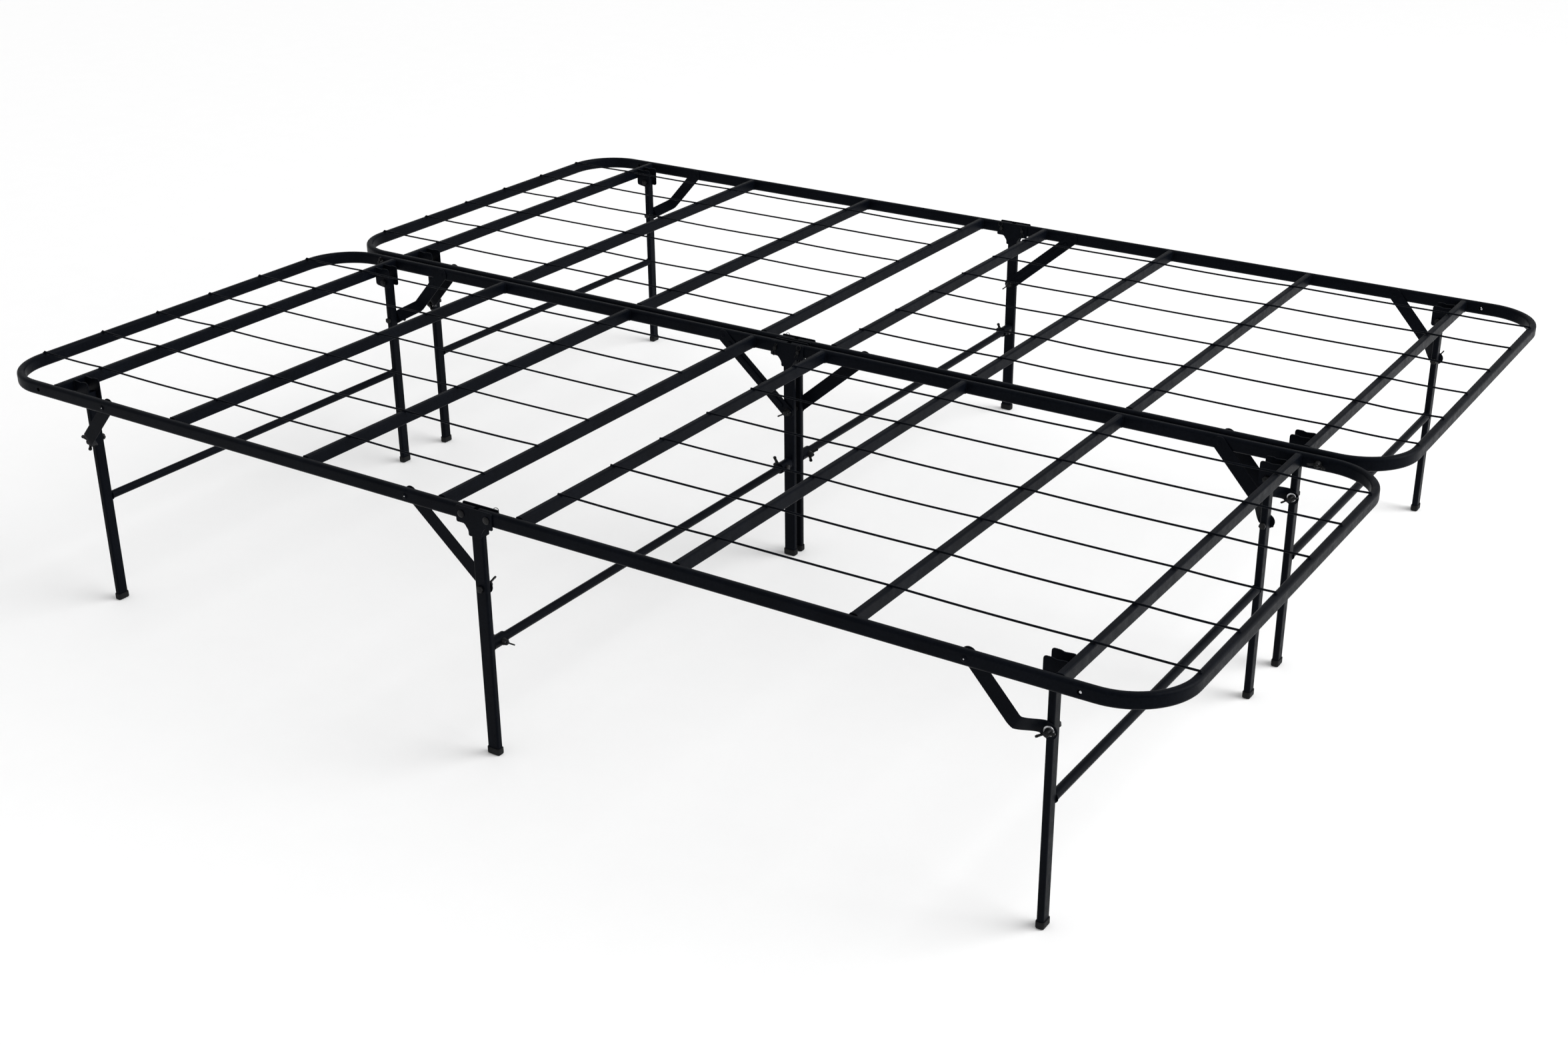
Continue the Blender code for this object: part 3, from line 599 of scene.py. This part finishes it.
def foot_shape(width, depth):
    """A moulded cap foot: tread, softened body and a slim rolled lip under the post."""
    outline = rounded_box(width + 2 * FOOT_LIP, depth + 2 * FOOT_LIP, POST_R + FOOT_LIP)
    tread = rounded_box(width + FOOT_LIP, depth + FOOT_LIP, POST_R)
    inner = rounded_box(width - 2 * WALL - 0.0006, depth - 2 * WALL - 0.0006, 0.0013)
    return together(slab((tread,), 0.0, 0.0016, 0.0005),
                    slab((outline,), 0.0008, FOOT_H - 0.0012, 0.0007),
                    slab((outline,), FOOT_H - 0.0014, FOOT_H, 0.0005),
                    slab((inner,), FOOT_H - 0.001, FOOT_H + 0.014, 0.0003))


def rounded_box(width, height, radius):
    corner = [(width / 2, height / 2), (-width / 2, height / 2), (-width / 2, -height / 2),
              (width / 2, -height / 2)]
    return eased(corner, radius, 5)


SHAPE_MESHES = {
    "rivet": rivet_head(0.0043, 0.0015),
    "rivet_core": turned([(0, 0), (0.0011, 0), (0.0011, 0.0009), (0.0007, 0.0013), (0, 0.0014)], 12),
    "rivet_tail": rivet_head(0.0036, 0.0011),
    "bolt_head": hex_head(0.0095, 0.0036),
    "nut": hex_head(0.0100, 0.0045),
    "washer": turned([(0, 0), (0.0062, 0), (0.0065, 0.0003), (0.0062, WASHER_T), (0, WASHER_T)]),
    # A real washer, but made in bright zinc and larger than the black one, so its rim shows as a painted
    # glint beside the wing nut.
    "bright_washer": turned([(0, 0), (0.0069, 0), (0.0072, 0.0003), (0.0069, 0.0010), (0, 0.0010)], 28),
    "bolt_end": threaded(0.0028, 0.0092),
    "short_end": threaded(0.0028, 0.0072),
    "wing_nut": wing_nut(),
    "pin": pin_shape(),
    "clip": clip_shape(),
    "end_foot": foot_shape(POST_X, POST_Y),
    "centre_foot": foot_shape(CENTRE_X, CENTRE_Y),
    "nugget": turned([(0, -0.0009), (0.0013, -0.0006), (0.0020, 0), (0.0013, 0.0006), (0, 0.0009)], 8),
    # A painted glint: a small bright zinc nut set off-centre inside the outer foot-side corner holes, so one
    # side of each hole shows a bright highlight.
    "captive_nut": turned([(0, -0.0001), (0.0012, -0.0001), (0.0019, 0.0003), (0.0019, 0.0014),
                           (0, 0.0014)], 16),
    "link_head": hex_head(0.0098, 0.0036),
    "link_shank": turned([(0, 0), (0.0028, 0), (0.0028, 0.036), (0, 0.036)], 16),
}
SHAPES = {name: bpy.data.objects.new(name, mesh) for name, mesh in SHAPE_MESHES.items()}
SHAPES.update(link_end=SHAPES["bolt_end"], link_nut=SHAPES["wing_nut"])


def finish_of(shape):
    """The finish of a kind of fastener and its slot. Bright zinc has no slot of its own."""
    # Besides real bare zinc, this list holds painted glints: the bright nuts in the corner holes and the
    # bright washers by the wing nuts.
    if shape in ("rivet_core", "bright_washer", "link_shank", "captive_nut"):
        return BARE_ZINC, None
    if shape in ("end_foot", "centre_foot"):
        return PLASTIC, PLASTIC_SLOT
    if shape in ("rivet", "rivet_tail", "nugget"):
        return POWDER_COAT, COAT_SLOT
    return BLACK_ZINC, ZINC_SLOT


def stood_for(body, shape):
    """The plain solids that one body's fasteners of a kind take the place of."""
    part = body.split("_")[1]
    return {
        "end_foot": [f"{body[:-5]}_{side}_foot" for side in SIDES],
        "centre_foot": [f"{unit}_{side}_centre_foot" for unit in UNITS for side in SIDES],
        "pin": [f"{unit}_{half}_{side}_hinge_pin"
                for unit in UNITS for half in HALVES for side in SIDES],
        "link_head": [f"{part}_link_bolt"],
        "link_nut": [f"{part}_link_wing_nut"],
    }.get(shape, [])


class Spots:
    """Places for fasteners, gathered for each body and shape, then set by one tree for each."""

    def __init__(self):
        self.found = {}

    def put(self, body, shape, place, spot, axis, up=UP, roll=0.0):
        """A shape with its foot at this spot and its Z along the axis, both in the place's space."""
        turn = place.to_3x3()
        z = (turn @ Vector(axis)).normalized()
        x = turn @ Vector(up)
        x = (x - x.dot(z) * z).normalized()
        x = Matrix.Rotation(roll, 3, z) @ x
        y = z.cross(x)
        euler = Matrix((x, y, z)).transposed().to_euler()
        self.found.setdefault((body, shape), []).append((place @ Vector(spot), euler))

    def base(self, key):
        mesh = bpy.data.meshes.new("spots")
        mesh.from_pydata([spot for spot, _ in self.found[key]], [], [])
        turn = mesh.attributes.new("turn", "FLOAT_VECTOR", "POINT")
        turn.data.foreach_set("vector", [value for _, euler in self.found[key] for value in euler])
        return mesh


# ---------------------------------------------------------------- pieces


def piece(name, mesh, body, material, stands_for=()):
    """Names a finished mesh, softens its shading, gives it its finish and sets it on its body."""
    mesh.name = name
    mesh.materials.clear()
    mesh.materials.append(material)
    mesh.polygons.foreach_set("use_smooth", [True] * len(mesh.polygons))
    mesh.set_sharp_from_angle(angle=math.radians(38))
    made = bpy.data.objects.new(name, mesh)
    bpy.context.scene.collection.objects.link(made)
    weighted = made.modifiers.new("even_shading", "WEIGHTED_NORMAL")
    weighted.keep_sharp = True
    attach(made, body)
    if stands_for:
        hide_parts(*stands_for)


def coated(name, mesh, body, *stands_for):
    """A piece in the black powder coat."""
    piece(name, mesh, body, POWDER_COAT, stands_for)


def rail_shape():
    """The bent rail of one half, drilled at its hinge ends and near its corners."""
    side = UNIT_W / 2 - RAIL_W / 2
    end = END_X - RAIL_W / 2
    path = [(RAIL_START, -side, PIN_Z), (end, -side, PIN_Z), (end, side, PIN_Z), (RAIL_START, side, PIN_Z)]
    body = tube(path, RAIL_W, RAIL_H, RAIL_R, WALL, BEND_R - RAIL_W / 2, 20)
    bit = turned([(0, 0), (HOLE_D / 2, 0), (HOLE_D / 2, RAIL_W * 2), (0, RAIL_W * 2)], 24)
    starts = (-UNIT_W / 2 - RAIL_W / 2, UNIT_W / 2 - RAIL_W * 1.5)
    drills = together(*[placed(bit, at(x, y, PIN_Z) @ STAND) for x in (PIN_X, HOLE_X) for y in starts])
    drill = bpy.data.objects.new("drill", tidied(drills))
    bpy.context.scene.collection.objects.link(drill)
    made = through(body, ("BOOLEAN", dict(operation="DIFFERENCE", solver="EXACT", object=drill)))
    bpy.data.objects.remove(drill, do_unlink=True)
    return made


def ear_shape():
    """One pivot ear, drawn in X and Z."""
    left, right = LEG_X - EAR_REACH, END_BAR_X - BAR_W / 2 + WALL
    top, low = RAIL_TOP - 0.0006, RAIL_TOP - EAR_DROP
    outline = [(right, top), (LEG_X + 0.004, top - 0.0016), (LEG_X, top), (left, top), (left, low),
               (LEG_X + 0.002, low), (right, low + 0.003)]
    return eased(outline, 0.0045, 5)


def end_bar_shape():
    """The cross bar over the leg frame, with a pair of ears round each post."""
    half = UNIT_W / 2 - INSIDE
    pieces = [placed(bar(half, BAR_W, BAR_H, BAR_R), at(END_BAR_X, 0, RAIL_TOP - BAR_H / 2 - 0.0002))]
    for side in (-1, 1):
        for face in (-1, 1):
            near = side * ACROSS + face * (POST_Y / 2 + EAR_GAP)
            low, high = sorted((near, near + face * EAR_T))
            pieces.append(plate((ear_shape(),), low, high, 0.0004))
    return together(*pieces)


def bars_shape(half):
    """The three cross bars that carry the wires of one half."""
    one = bar(UNIT_W / 2 - INSIDE, BAR_W, BAR_H, BAR_R)
    return together(*[placed(one, at(x, 0, BAR_TOP - BAR_H / 2)) for x in BAR_X[half]])


def leg_frame_shape():
    """Two posts and the stretcher between them."""
    reach = ACROSS - POST_Y / 2 + WALL / 2
    one = post(POST_LOW, POST_HIGH, POST_X, POST_Y, POST_R)
    return together(*[placed(one, at(LEG_X, side * ACROSS)) for side in (-1, 1)],
                    placed(pipe(reach, STRETCHER_D, WALL), at(LEG_X, 0, LEG_STRETCHER_Z)))


def strip_shape(rows):
    """A bent strip from rows of (middle point, half width vector, depth), thickened and softened."""
    sheet = bmesh.new()
    pairs = [[sheet.verts.new((spot.x + s * w.x, y, spot.y + s * w.y)) for s in (-1, -0.4, 0.4, 1)]
             for spot, w, y in rows]
    for low, high in zip(pairs, pairs[1:]):
        for k in range(3):
            sheet.faces.new((low[k], low[k + 1], high[k + 1], high[k]))
    bmesh.ops.recalc_face_normals(sheet, faces=sheet.faces)
    if sheet.faces[0].normal.y > 0:
        bmesh.ops.reverse_faces(sheet, faces=sheet.faces)
    mesh = bpy.data.meshes.new("strip")
    sheet.to_mesh(mesh)
    sheet.free()
    return tidied(through(mesh, ("SOLIDIFY", dict(thickness=STRIP_T, offset=-1, use_even_offset=False)),
                          ("BEVEL", dict(width=0.0003, segments=2, limit_method="ANGLE",
                                         angle_limit=math.radians(50)))))


def leg_brace_shape():
    """The dog-leg strip: round at both ends, bent at its knee and set inboard to the leg."""
    knee_round, knee_set, foot_flat = 0.004, 0.0009, 0.008
    top = Vector((LEG_BRACE_X, PIN_Z))
    knee = Vector((LEG_X - KNEE_REACH, PIN_Z - KNEE_DROP))
    foot = Vector((LEG_X, LEG_BOLT_Z))
    along, out = (knee - top).normalized(), (foot - knee).normalized()
    half = STRIP_W / 2
    side, out_side = Vector((-along.y, along.x)) * half, Vector((-out.y, out.x)) * half
    rows = []
    for turn in range(84, 0, -12):
        angle = math.radians(turn)
        rows.append((top - along * (math.sin(angle) * half), side * math.cos(angle), INSIDE))
    bend_start, bend_end = knee - along * knee_round, knee + out * knee_round
    rows += [(top, side, INSIDE), (bend_start, side, INSIDE)]
    for k in range(1, 6):
        t = k / 6
        spot = bend_start * (1 - t) ** 2 + knee * 2 * t * (1 - t) + bend_end * t ** 2
        rows.append((spot, side.lerp(out_side, t), INSIDE + knee_set * t * t))
    for k in range(9):
        t = k / 8
        ease = t * t * (3 - 2 * t) * 0.35 + t * 0.65
        spot = bend_end.lerp(foot - out * foot_flat, t)
        rows.append((spot, out_side, INSIDE + knee_set + (TAB_Y - INSIDE - knee_set) * ease))
    rows.append((foot - out * 0.005, out_side, TAB_Y))
    for turn in range(0, 85, 12):
        angle = math.radians(turn)
        rows.append((foot + out * math.sin(angle) * half, out_side * math.cos(angle), TAB_Y))
    return strip_shape(rows)


def round_end(radius, step):
    """Half a circle on the +X side, a point at every step of degrees."""
    return [(radius * math.cos(math.radians(t)), radius * math.sin(math.radians(t)))
            for t in range(-90, 91, step)]


def centre_brace_shape():
    """The straight strip with a pressed rib, from the rail down to the centre post."""
    rib_inset, rib_half, rib_rise = 0.016, 0.0036, 0.0019
    top, foot = Vector((CENTRE_BRACE_X, PIN_Z)), Vector((0.0, CENTRE_BRACE_Z))
    length = (top - foot).length
    ends, rib_ends = round_end(STRIP_W / 2, 12), round_end(rib_half, 15)
    outline = [(length + x, z) for x, z in ends] + [(-x, -z) for x, z in ends]
    rib_line = ([(length - rib_inset + x, z) for x, z in rib_ends]
                + [(rib_inset - x, -z) for x, z in rib_ends])
    strip = plate((outline,), INSIDE, INSIDE + STRIP_T)
    rib = plate((rib_line,), INSIDE + 0.0004, INSIDE + STRIP_T + rib_rise, 0.0011)
    lean = math.atan2(top.y - foot.y, top.x - foot.x)
    return placed(together(strip, rib), at(foot.x, 0, foot.y) @ Matrix.Rotation(-lean, 4, "Y"))


def centre_leg_shape():
    """The centre post with its hinge bracket round the rail ends and its stretcher sleeve."""
    middle = RAIL_W / 2
    stem = placed(post(POST_LOW, PIN_Z - WEB_DROP - 0.004, CENTRE_X, CENTRE_Y, POST_R), at(y=middle))
    lip = RAIL_H / 2 + PLATE_LIP
    half = [(PLATE_HALF, lip), (PLATE_HALF, -PLATE_SHOULDER), (NECK_HALF + NECK_FLARE, -PLATE_SHOULDER),
            (NECK_HALF, -PLATE_SHOULDER - NECK_TAPER), (NECK_HALF, -NECK_DROP)]
    outline = [(x, PIN_Z + z) for x, z in half]
    outline = eased(outline + [(-x, z) for x, z in outline[::-1]], 0.0026, 4)
    outside = plate((outline,), -GAP - PLATE_T, -GAP, 0.0004)
    inside = plate((outline,), INSIDE, INSIDE + PLATE_T, 0.0004)
    reach, low = NECK_HALF - 0.0005, PIN_Z - NECK_DROP + 0.002
    web = [(reach, PIN_Z - WEB_DROP), (-reach, PIN_Z - WEB_DROP), (-reach, low), (reach, low)]
    saddle = plate((web,), -GAP - PLATE_T / 2, INSIDE + PLATE_T / 2, 0.0003)
    face = middle + CENTRE_Y / 2
    sleeve = placed(pipe(SLEEVE_LENGTH / 2, SLEEVE_D, (SLEEVE_D - STRETCHER_D) / 2 - 0.0003),
                    at(0, face + SLEEVE_LENGTH / 2 - WALL / 2, STRETCHER_Z))
    return together(stem, outside, inside, saddle, sleeve)


def ring(width, height, radius, x, y, z):
    """A rounded outline standing in X and Z at y."""
    return [(x + a, y, z + b) for a, b in rounded_box(width, height, radius)], True


def round_ring(diameter, x, y, z, steps=20):
    return [(x + a, y, z + b) for a, b in circle(diameter, steps=steps)], True


def deck_welds(bar_x):
    """The weld lines of one deck half: bar ends on the rail, and ears on the end bar."""
    half = UNIT_W / 2 - INSIDE
    loops = []
    for side in (-1, 1):
        for x, top in [(x, BAR_TOP) for x in bar_x] + [(END_BAR_X, RAIL_TOP - 0.0002)]:
            loops.append(ring(BAR_W + 0.0004, BAR_H - 0.0012, BAR_R, x, side * (half - 0.0002),
                              top - BAR_H / 2 - 0.0006))
        for face in (-1, 1):
            y = side * ACROSS + face * (EARS_OUT + 0.0003)
            x = END_BAR_X - BAR_W / 2 - 0.0004
            loops.append(([(x, y, RAIL_TOP - 0.004), (x, y, RAIL_TOP - BAR_H + 0.002)], False))
    return lines(*loops)


def leg_welds():
    reach = ACROSS - POST_Y / 2
    return lines(*[round_ring(STRETCHER_D + 0.0003, LEG_X, side * (reach - 0.0003), LEG_STRETCHER_Z)
                   for side in (-1, 1)])


def centre_welds():
    face = RAIL_W / 2 + CENTRE_Y / 2
    low = PIN_Z - NECK_DROP
    flat = CENTRE_X / 2 - 0.002
    return lines(round_ring(SLEEVE_D + 0.0002, 0, face + 0.0004, STRETCHER_Z),
                 ([(-flat, 0.0006, low), (flat, 0.0006, low)], False),
                 ([(-flat, face + 0.0006, low), (flat, face + 0.0006, low)], False))


SUPPORTS = {half: [INNER_BAR_X - WIRE_TAIL, *BAR_X[half], END_BAR_X, END_X - RAIL_W / 2]
            for half in HALVES}
RAIL, END_BAR = rail_shape(), end_bar_shape()
BARS = {half: bars_shape(half) for half in HALVES}
LEGS, LEG_BRACE = leg_frame_shape(), leg_brace_shape()
CENTRE_BRACE, CENTRE_LEG = centre_brace_shape(), centre_leg_shape()
BEAD = dict(pitch=0.0013, bead_size=0.0024, finish=POWDER_COAT)
DECK_WELDS = {half: grown(BEADS, deck_welds(BAR_X[half]), seed=3, **BEAD) for half in HALVES}
LEG_WELDS = grown(BEADS, leg_welds(), seed=5, **BEAD)
CENTRE_WELDS = grown(BEADS, centre_welds(), seed=8, **BEAD)
WING_TURNS = (35, 118, 112, 160, 12, 96, 142, 58)  # degrees, as hands left them
CENTRE = "centre_frame"

spots = Spots()
corner_number = 0
for unit in UNITS:
    for half in HALVES:
        name = f"{unit}_{half}"
        deck, legs = f"{name}_deck", f"{name}_legs"
        place = half_place(unit, half)
        coated(f"{name}_rail_tube", placed(RAIL, place), deck, f"{name}_rail")
        coated(f"{name}_end_bar_and_ears", placed(END_BAR, place), deck, f"{name}_end_bar")
        coated(f"{name}_cross_bars", placed(BARS[half], place), deck, f"{name}_wire_deck")
        wires = grown(WIRES, lines(([(x, 0, WIRE_Z) for x in SUPPORTS[half]], False)),
                      count=WIRE_COUNT, pitch=WIRE_PITCH, diameter=WIRE_D, steps=10, sag=0.0014,
                      sway=0.0010, seed=11 + 4 * corner_number, finish=POWDER_COAT)
        coated(f"{name}_wires", placed(tidied(wires), place), deck)
        coated(f"{name}_deck_welds", placed(DECK_WELDS[half], place), deck)
        coated(f"{name}_leg_posts", placed(LEGS, place), legs, f"{name}_leg_frame")
        coated(f"{name}_leg_welds", placed(LEG_WELDS, place), legs)
        for k in range(WIRE_COUNT):
            y = (k - (WIRE_COUNT - 1) / 2) * WIRE_PITCH
            for x in SUPPORTS[half][1:]:
                for aside in (-NUGGET_ASIDE, NUGGET_ASIDE):
                    spots.put(deck, "nugget", place, (x, y + aside, WIRE_Z - NUGGET_SINK), UP)
        for side in SIDES:
            corner = side_place(unit, half, side)
            turn = math.radians(WING_TURNS[corner_number % len(WING_TURNS)])
            corner_number += 1
            brace = f"{name}_{side}_brace"
            coated(f"{brace}_strip", placed(LEG_BRACE, corner), brace, brace)
            spots.put(legs, "end_foot", corner, (LEG_X, LEG_IN, 0), UP, ALONG)
            for shape in ("rivet", "rivet_core"):
                spots.put(deck, shape, corner, (LEG_BRACE_X, 0, PIN_Z), OUTWARD)
            spots.put(deck, "rivet_tail", corner, (LEG_BRACE_X, NUT_FACE, PIN_Z), INWARD)
            spots.put(deck, "bolt_head", corner, (LEG_X, LEG_IN - EARS_OUT, LEG_PIVOT_Z), OUTWARD,
                      roll=turn)
            pivot_end = (LEG_X, LEG_IN + EARS_OUT, LEG_PIVOT_Z)
            spots.put(deck, "nut", corner, pivot_end, INWARD, roll=turn * 2)
            spots.put(deck, "short_end", corner, pivot_end, INWARD)
            # A painted glint: the bright washer is raised above the bolt's axis, so its rim shows past the
            # wing nut.
            spots.put(legs, "bright_washer", corner, (LEG_X, TAB_Y, LEG_BOLT_Z + WASHER_GLINT_RISE), OUTWARD)
            spots.put(legs, "wing_nut", corner, (LEG_X, TAB_Y - WASHER_T, LEG_BOLT_Z), OUTWARD,
                      roll=turn)
            spots.put(legs, "bolt_end", corner, (LEG_X, TAB_Y, LEG_BOLT_Z), OUTWARD)
            spots.put(legs, "bolt_head", corner, (LEG_X, LEG_IN + POST_Y / 2, LEG_BOLT_Z), INWARD,
                      roll=turn)
            # A painted glint: a bright zinc nut off-centre in each outer foot-side corner hole. It is shifted
            # a little outward along the rail, so the bright highlight falls at one side of the hole.
            if side == "outer" and half == "foot":
                hole = HOLE_X + 0.0013
                spots.put(deck, "captive_nut", corner, (hole, 0.0004, PIN_Z + 0.0004), INWARD)
                spots.put(deck, "captive_nut", corner, (hole, RAIL_W - 0.0004, PIN_Z), OUTWARD)
    for side in SIDES:
        corner = side_place(unit, "foot", side)
        leg = f"{unit}_{side}_centre_leg"
        coated(f"{leg}_and_bracket", placed(CENTRE_LEG, corner), CENTRE, leg)
        coated(f"{leg}_welds", placed(CENTRE_WELDS, corner), CENTRE)
        spots.put(CENTRE, "centre_foot", corner, (0, RAIL_W / 2, 0), UP, ALONG)
        for half in HALVES:
            hinge = side_place(unit, half, side)
            start = -GAP - PLATE_T - GAP
            spots.put(CENTRE, "pin", hinge, (PIN_X, start, PIN_Z), INWARD)
            up = 1 if (half == "foot") == (unit == "left") else -1
            spots.put(CENTRE, "clip", hinge, (PIN_X, start + 0.0192, PIN_Z), (0.22, 0, up), ALONG,
                      roll=0.4)
        brace_half = "head" if unit == "left" else "foot"
        brace = f"{unit}_{side}_centre_brace"
        corner = side_place(unit, brace_half, side)
        deck = f"{unit}_{brace_half}_deck"
        coated(f"{brace}_strip", placed(CENTRE_BRACE, corner), brace, brace)
        for shape, y, way in (("rivet", 0, -1), ("rivet_core", 0, -1), ("rivet_tail", NUT_FACE, 1)):
            spots.put(deck, shape, corner, (CENTRE_BRACE_X, y, PIN_Z), (0, way, 0))
        turn = math.radians(WING_TURNS[corner_number % len(WING_TURNS)] + 20)
        corner_number += 1
        post_face = RAIL_W / 2 - CENTRE_Y / 2
        spots.put(CENTRE, "bolt_head", corner, (0, post_face, CENTRE_BRACE_Z), OUTWARD, roll=turn)
        spots.put(CENTRE, "wing_nut", corner, (0, NUT_FACE + WASHER_T, CENTRE_BRACE_Z), INWARD,
                  roll=turn)
        spots.put(CENTRE, "washer", corner, (0, NUT_FACE, CENTRE_BRACE_Z), INWARD)
        spots.put(CENTRE, "bolt_end", corner, (0, NUT_FACE, CENTRE_BRACE_Z), INWARD)
        way = 1 if side == "outer" else -1
        corner = side_place(unit, "foot" if unit == "left" else "head", side)
        y = RAIL_W / 2 + CENTRE_Y / 2 + SLEEVE_LENGTH * 0.62
        seat = SLEEVE_D / 2 - 0.0006
        head_spot, nut_spot = (-way * seat, y, STRETCHER_Z), (way * seat, y, STRETCHER_Z)
        spots.put(CENTRE, "bolt_head", corner, head_spot, (-way, 0, 0), roll=turn)
        spots.put(CENTRE, "wing_nut", corner, nut_spot, (way, 0, 0), roll=turn * 1.7)
        spots.put(CENTRE, "bolt_end", corner, nut_spot, (way, 0, 0))
    name = f"{unit}_centre_stretcher"
    coated(f"{name}_tube", placed(pipe(STRETCHER_HALF, STRETCHER_D, WALL),
                                  half_place(unit, "foot") @ at(z=STRETCHER_Z)), CENTRE, name)

for half, way in HALVES.items():
    _, bolt_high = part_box(f"{half}_link_bolt")
    _, nut_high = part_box(f"{half}_link_wing_nut")
    here = at(way * HOLE_X, 0, PIN_Z)
    deck = f"left_{half}_deck"
    seat = (0, nut_high.y, 0)
    spots.put(deck, "link_head", here, (0, bolt_high.y - 0.004, 0), INWARD, roll=0.3)
    spots.put(deck, "link_shank", here, seat, INWARD)
    spots.put(deck, "link_end", here, seat, OUTWARD)
    spots.put(deck, "link_nut", here, seat, OUTWARD, roll=0.5 + way)

for body, shape in sorted(spots.found):
    material, slot = finish_of(shape)
    mesh = grown(FASTENERS, spots.base((body, shape)), shape=SHAPES[shape], finish=material)
    owner = "centre" if body == CENTRE else body
    piece(f"{owner}_{shape}s", mesh, body, material, stood_for(body, shape))

for shape in {made.name: made for made in SHAPES.values()}.values():
    bpy.data.objects.remove(shape, do_unlink=True)

# ---------------------------------------------------------------- studio

FLOOR_HALF = 30.0
floor_mesh = bpy.data.meshes.new("studio_floor")
floor_mesh.from_pydata([(x * FLOOR_HALF, y * FLOOR_HALF, 0) for x, y in ((-1, -1), (1, -1), (1, 1), (-1, 1))],
                       [], [(0, 1, 2, 3)])
floor_mesh.materials.append(STUDIO_FLOOR)
floor = bpy.data.objects.new("studio_floor", floor_mesh)
floor.location.z = -0.0004
bpy.context.scene.collection.objects.link(floor)

world = bpy.data.worlds.new("studio")
world.use_nodes = True
background = world.node_tree.nodes["Background"].inputs
background["Color"].default_value = (1.0, 1.0, 1.0, 1.0)
background["Strength"].default_value = 0.68
bpy.context.scene.world = world
bpy.context.scene.view_settings.view_transform = "Standard"


def softbox(name, spot, aim, size, power):
    """A rectangular soft light that faces a point."""
    data = bpy.data.lights.new(name, "AREA")
    data.shape = "RECTANGLE"
    data.size, data.size_y = size
    data.energy = power
    lamp = bpy.data.objects.new(name, data)
    lamp.location = spot
    lamp.rotation_euler = (Vector(aim) - Vector(spot)).to_track_quat("-Z", "Y").to_euler()
    bpy.context.scene.collection.objects.link(lamp)


softbox("foot_end_softbox", (3.6, 1.4, 1.5), (0, 0, 0.25), (2.4, 2.0), 60)
key = bpy.data.lights.new("high_soft_key", "SUN")
key.energy = 1.75
key.angle = math.radians(50)
key_lamp = bpy.data.objects.new("high_soft_key", key)
key_lamp.rotation_euler = Vector((-0.62, -0.30, -0.74)).to_track_quat("-Z", "Y").to_euler()
bpy.context.scene.collection.objects.link(key_lamp)

CAMERA_SPOT, LENS_MM = (1.7192, -2.6458, 1.5123), 47.14
AZIMUTH, ELEVATION, ROLL = math.radians(33.33), math.radians(24.80), math.radians(-0.485)
back = Vector((math.sin(AZIMUTH) * math.cos(ELEVATION), -math.cos(AZIMUTH) * math.cos(ELEVATION),
               math.sin(ELEVATION)))
right = Vector((0, 0, 1)).cross(back).normalized()
up = back.cross(right)
right, up = (math.cos(ROLL) * right + math.sin(ROLL) * up, -math.sin(ROLL) * right + math.cos(ROLL) * up)
lens = bpy.data.cameras.new("camera")
lens.sensor_width = 36.0
lens.lens = LENS_MM
lens.clip_start, lens.clip_end = 0.05, 100
camera = bpy.data.objects.new("camera", lens)
camera.matrix_world = at(*CAMERA_SPOT) @ Matrix((right, up, back)).transposed().to_4x4()
bpy.context.scene.collection.objects.link(camera)
bpy.context.scene.camera = camera
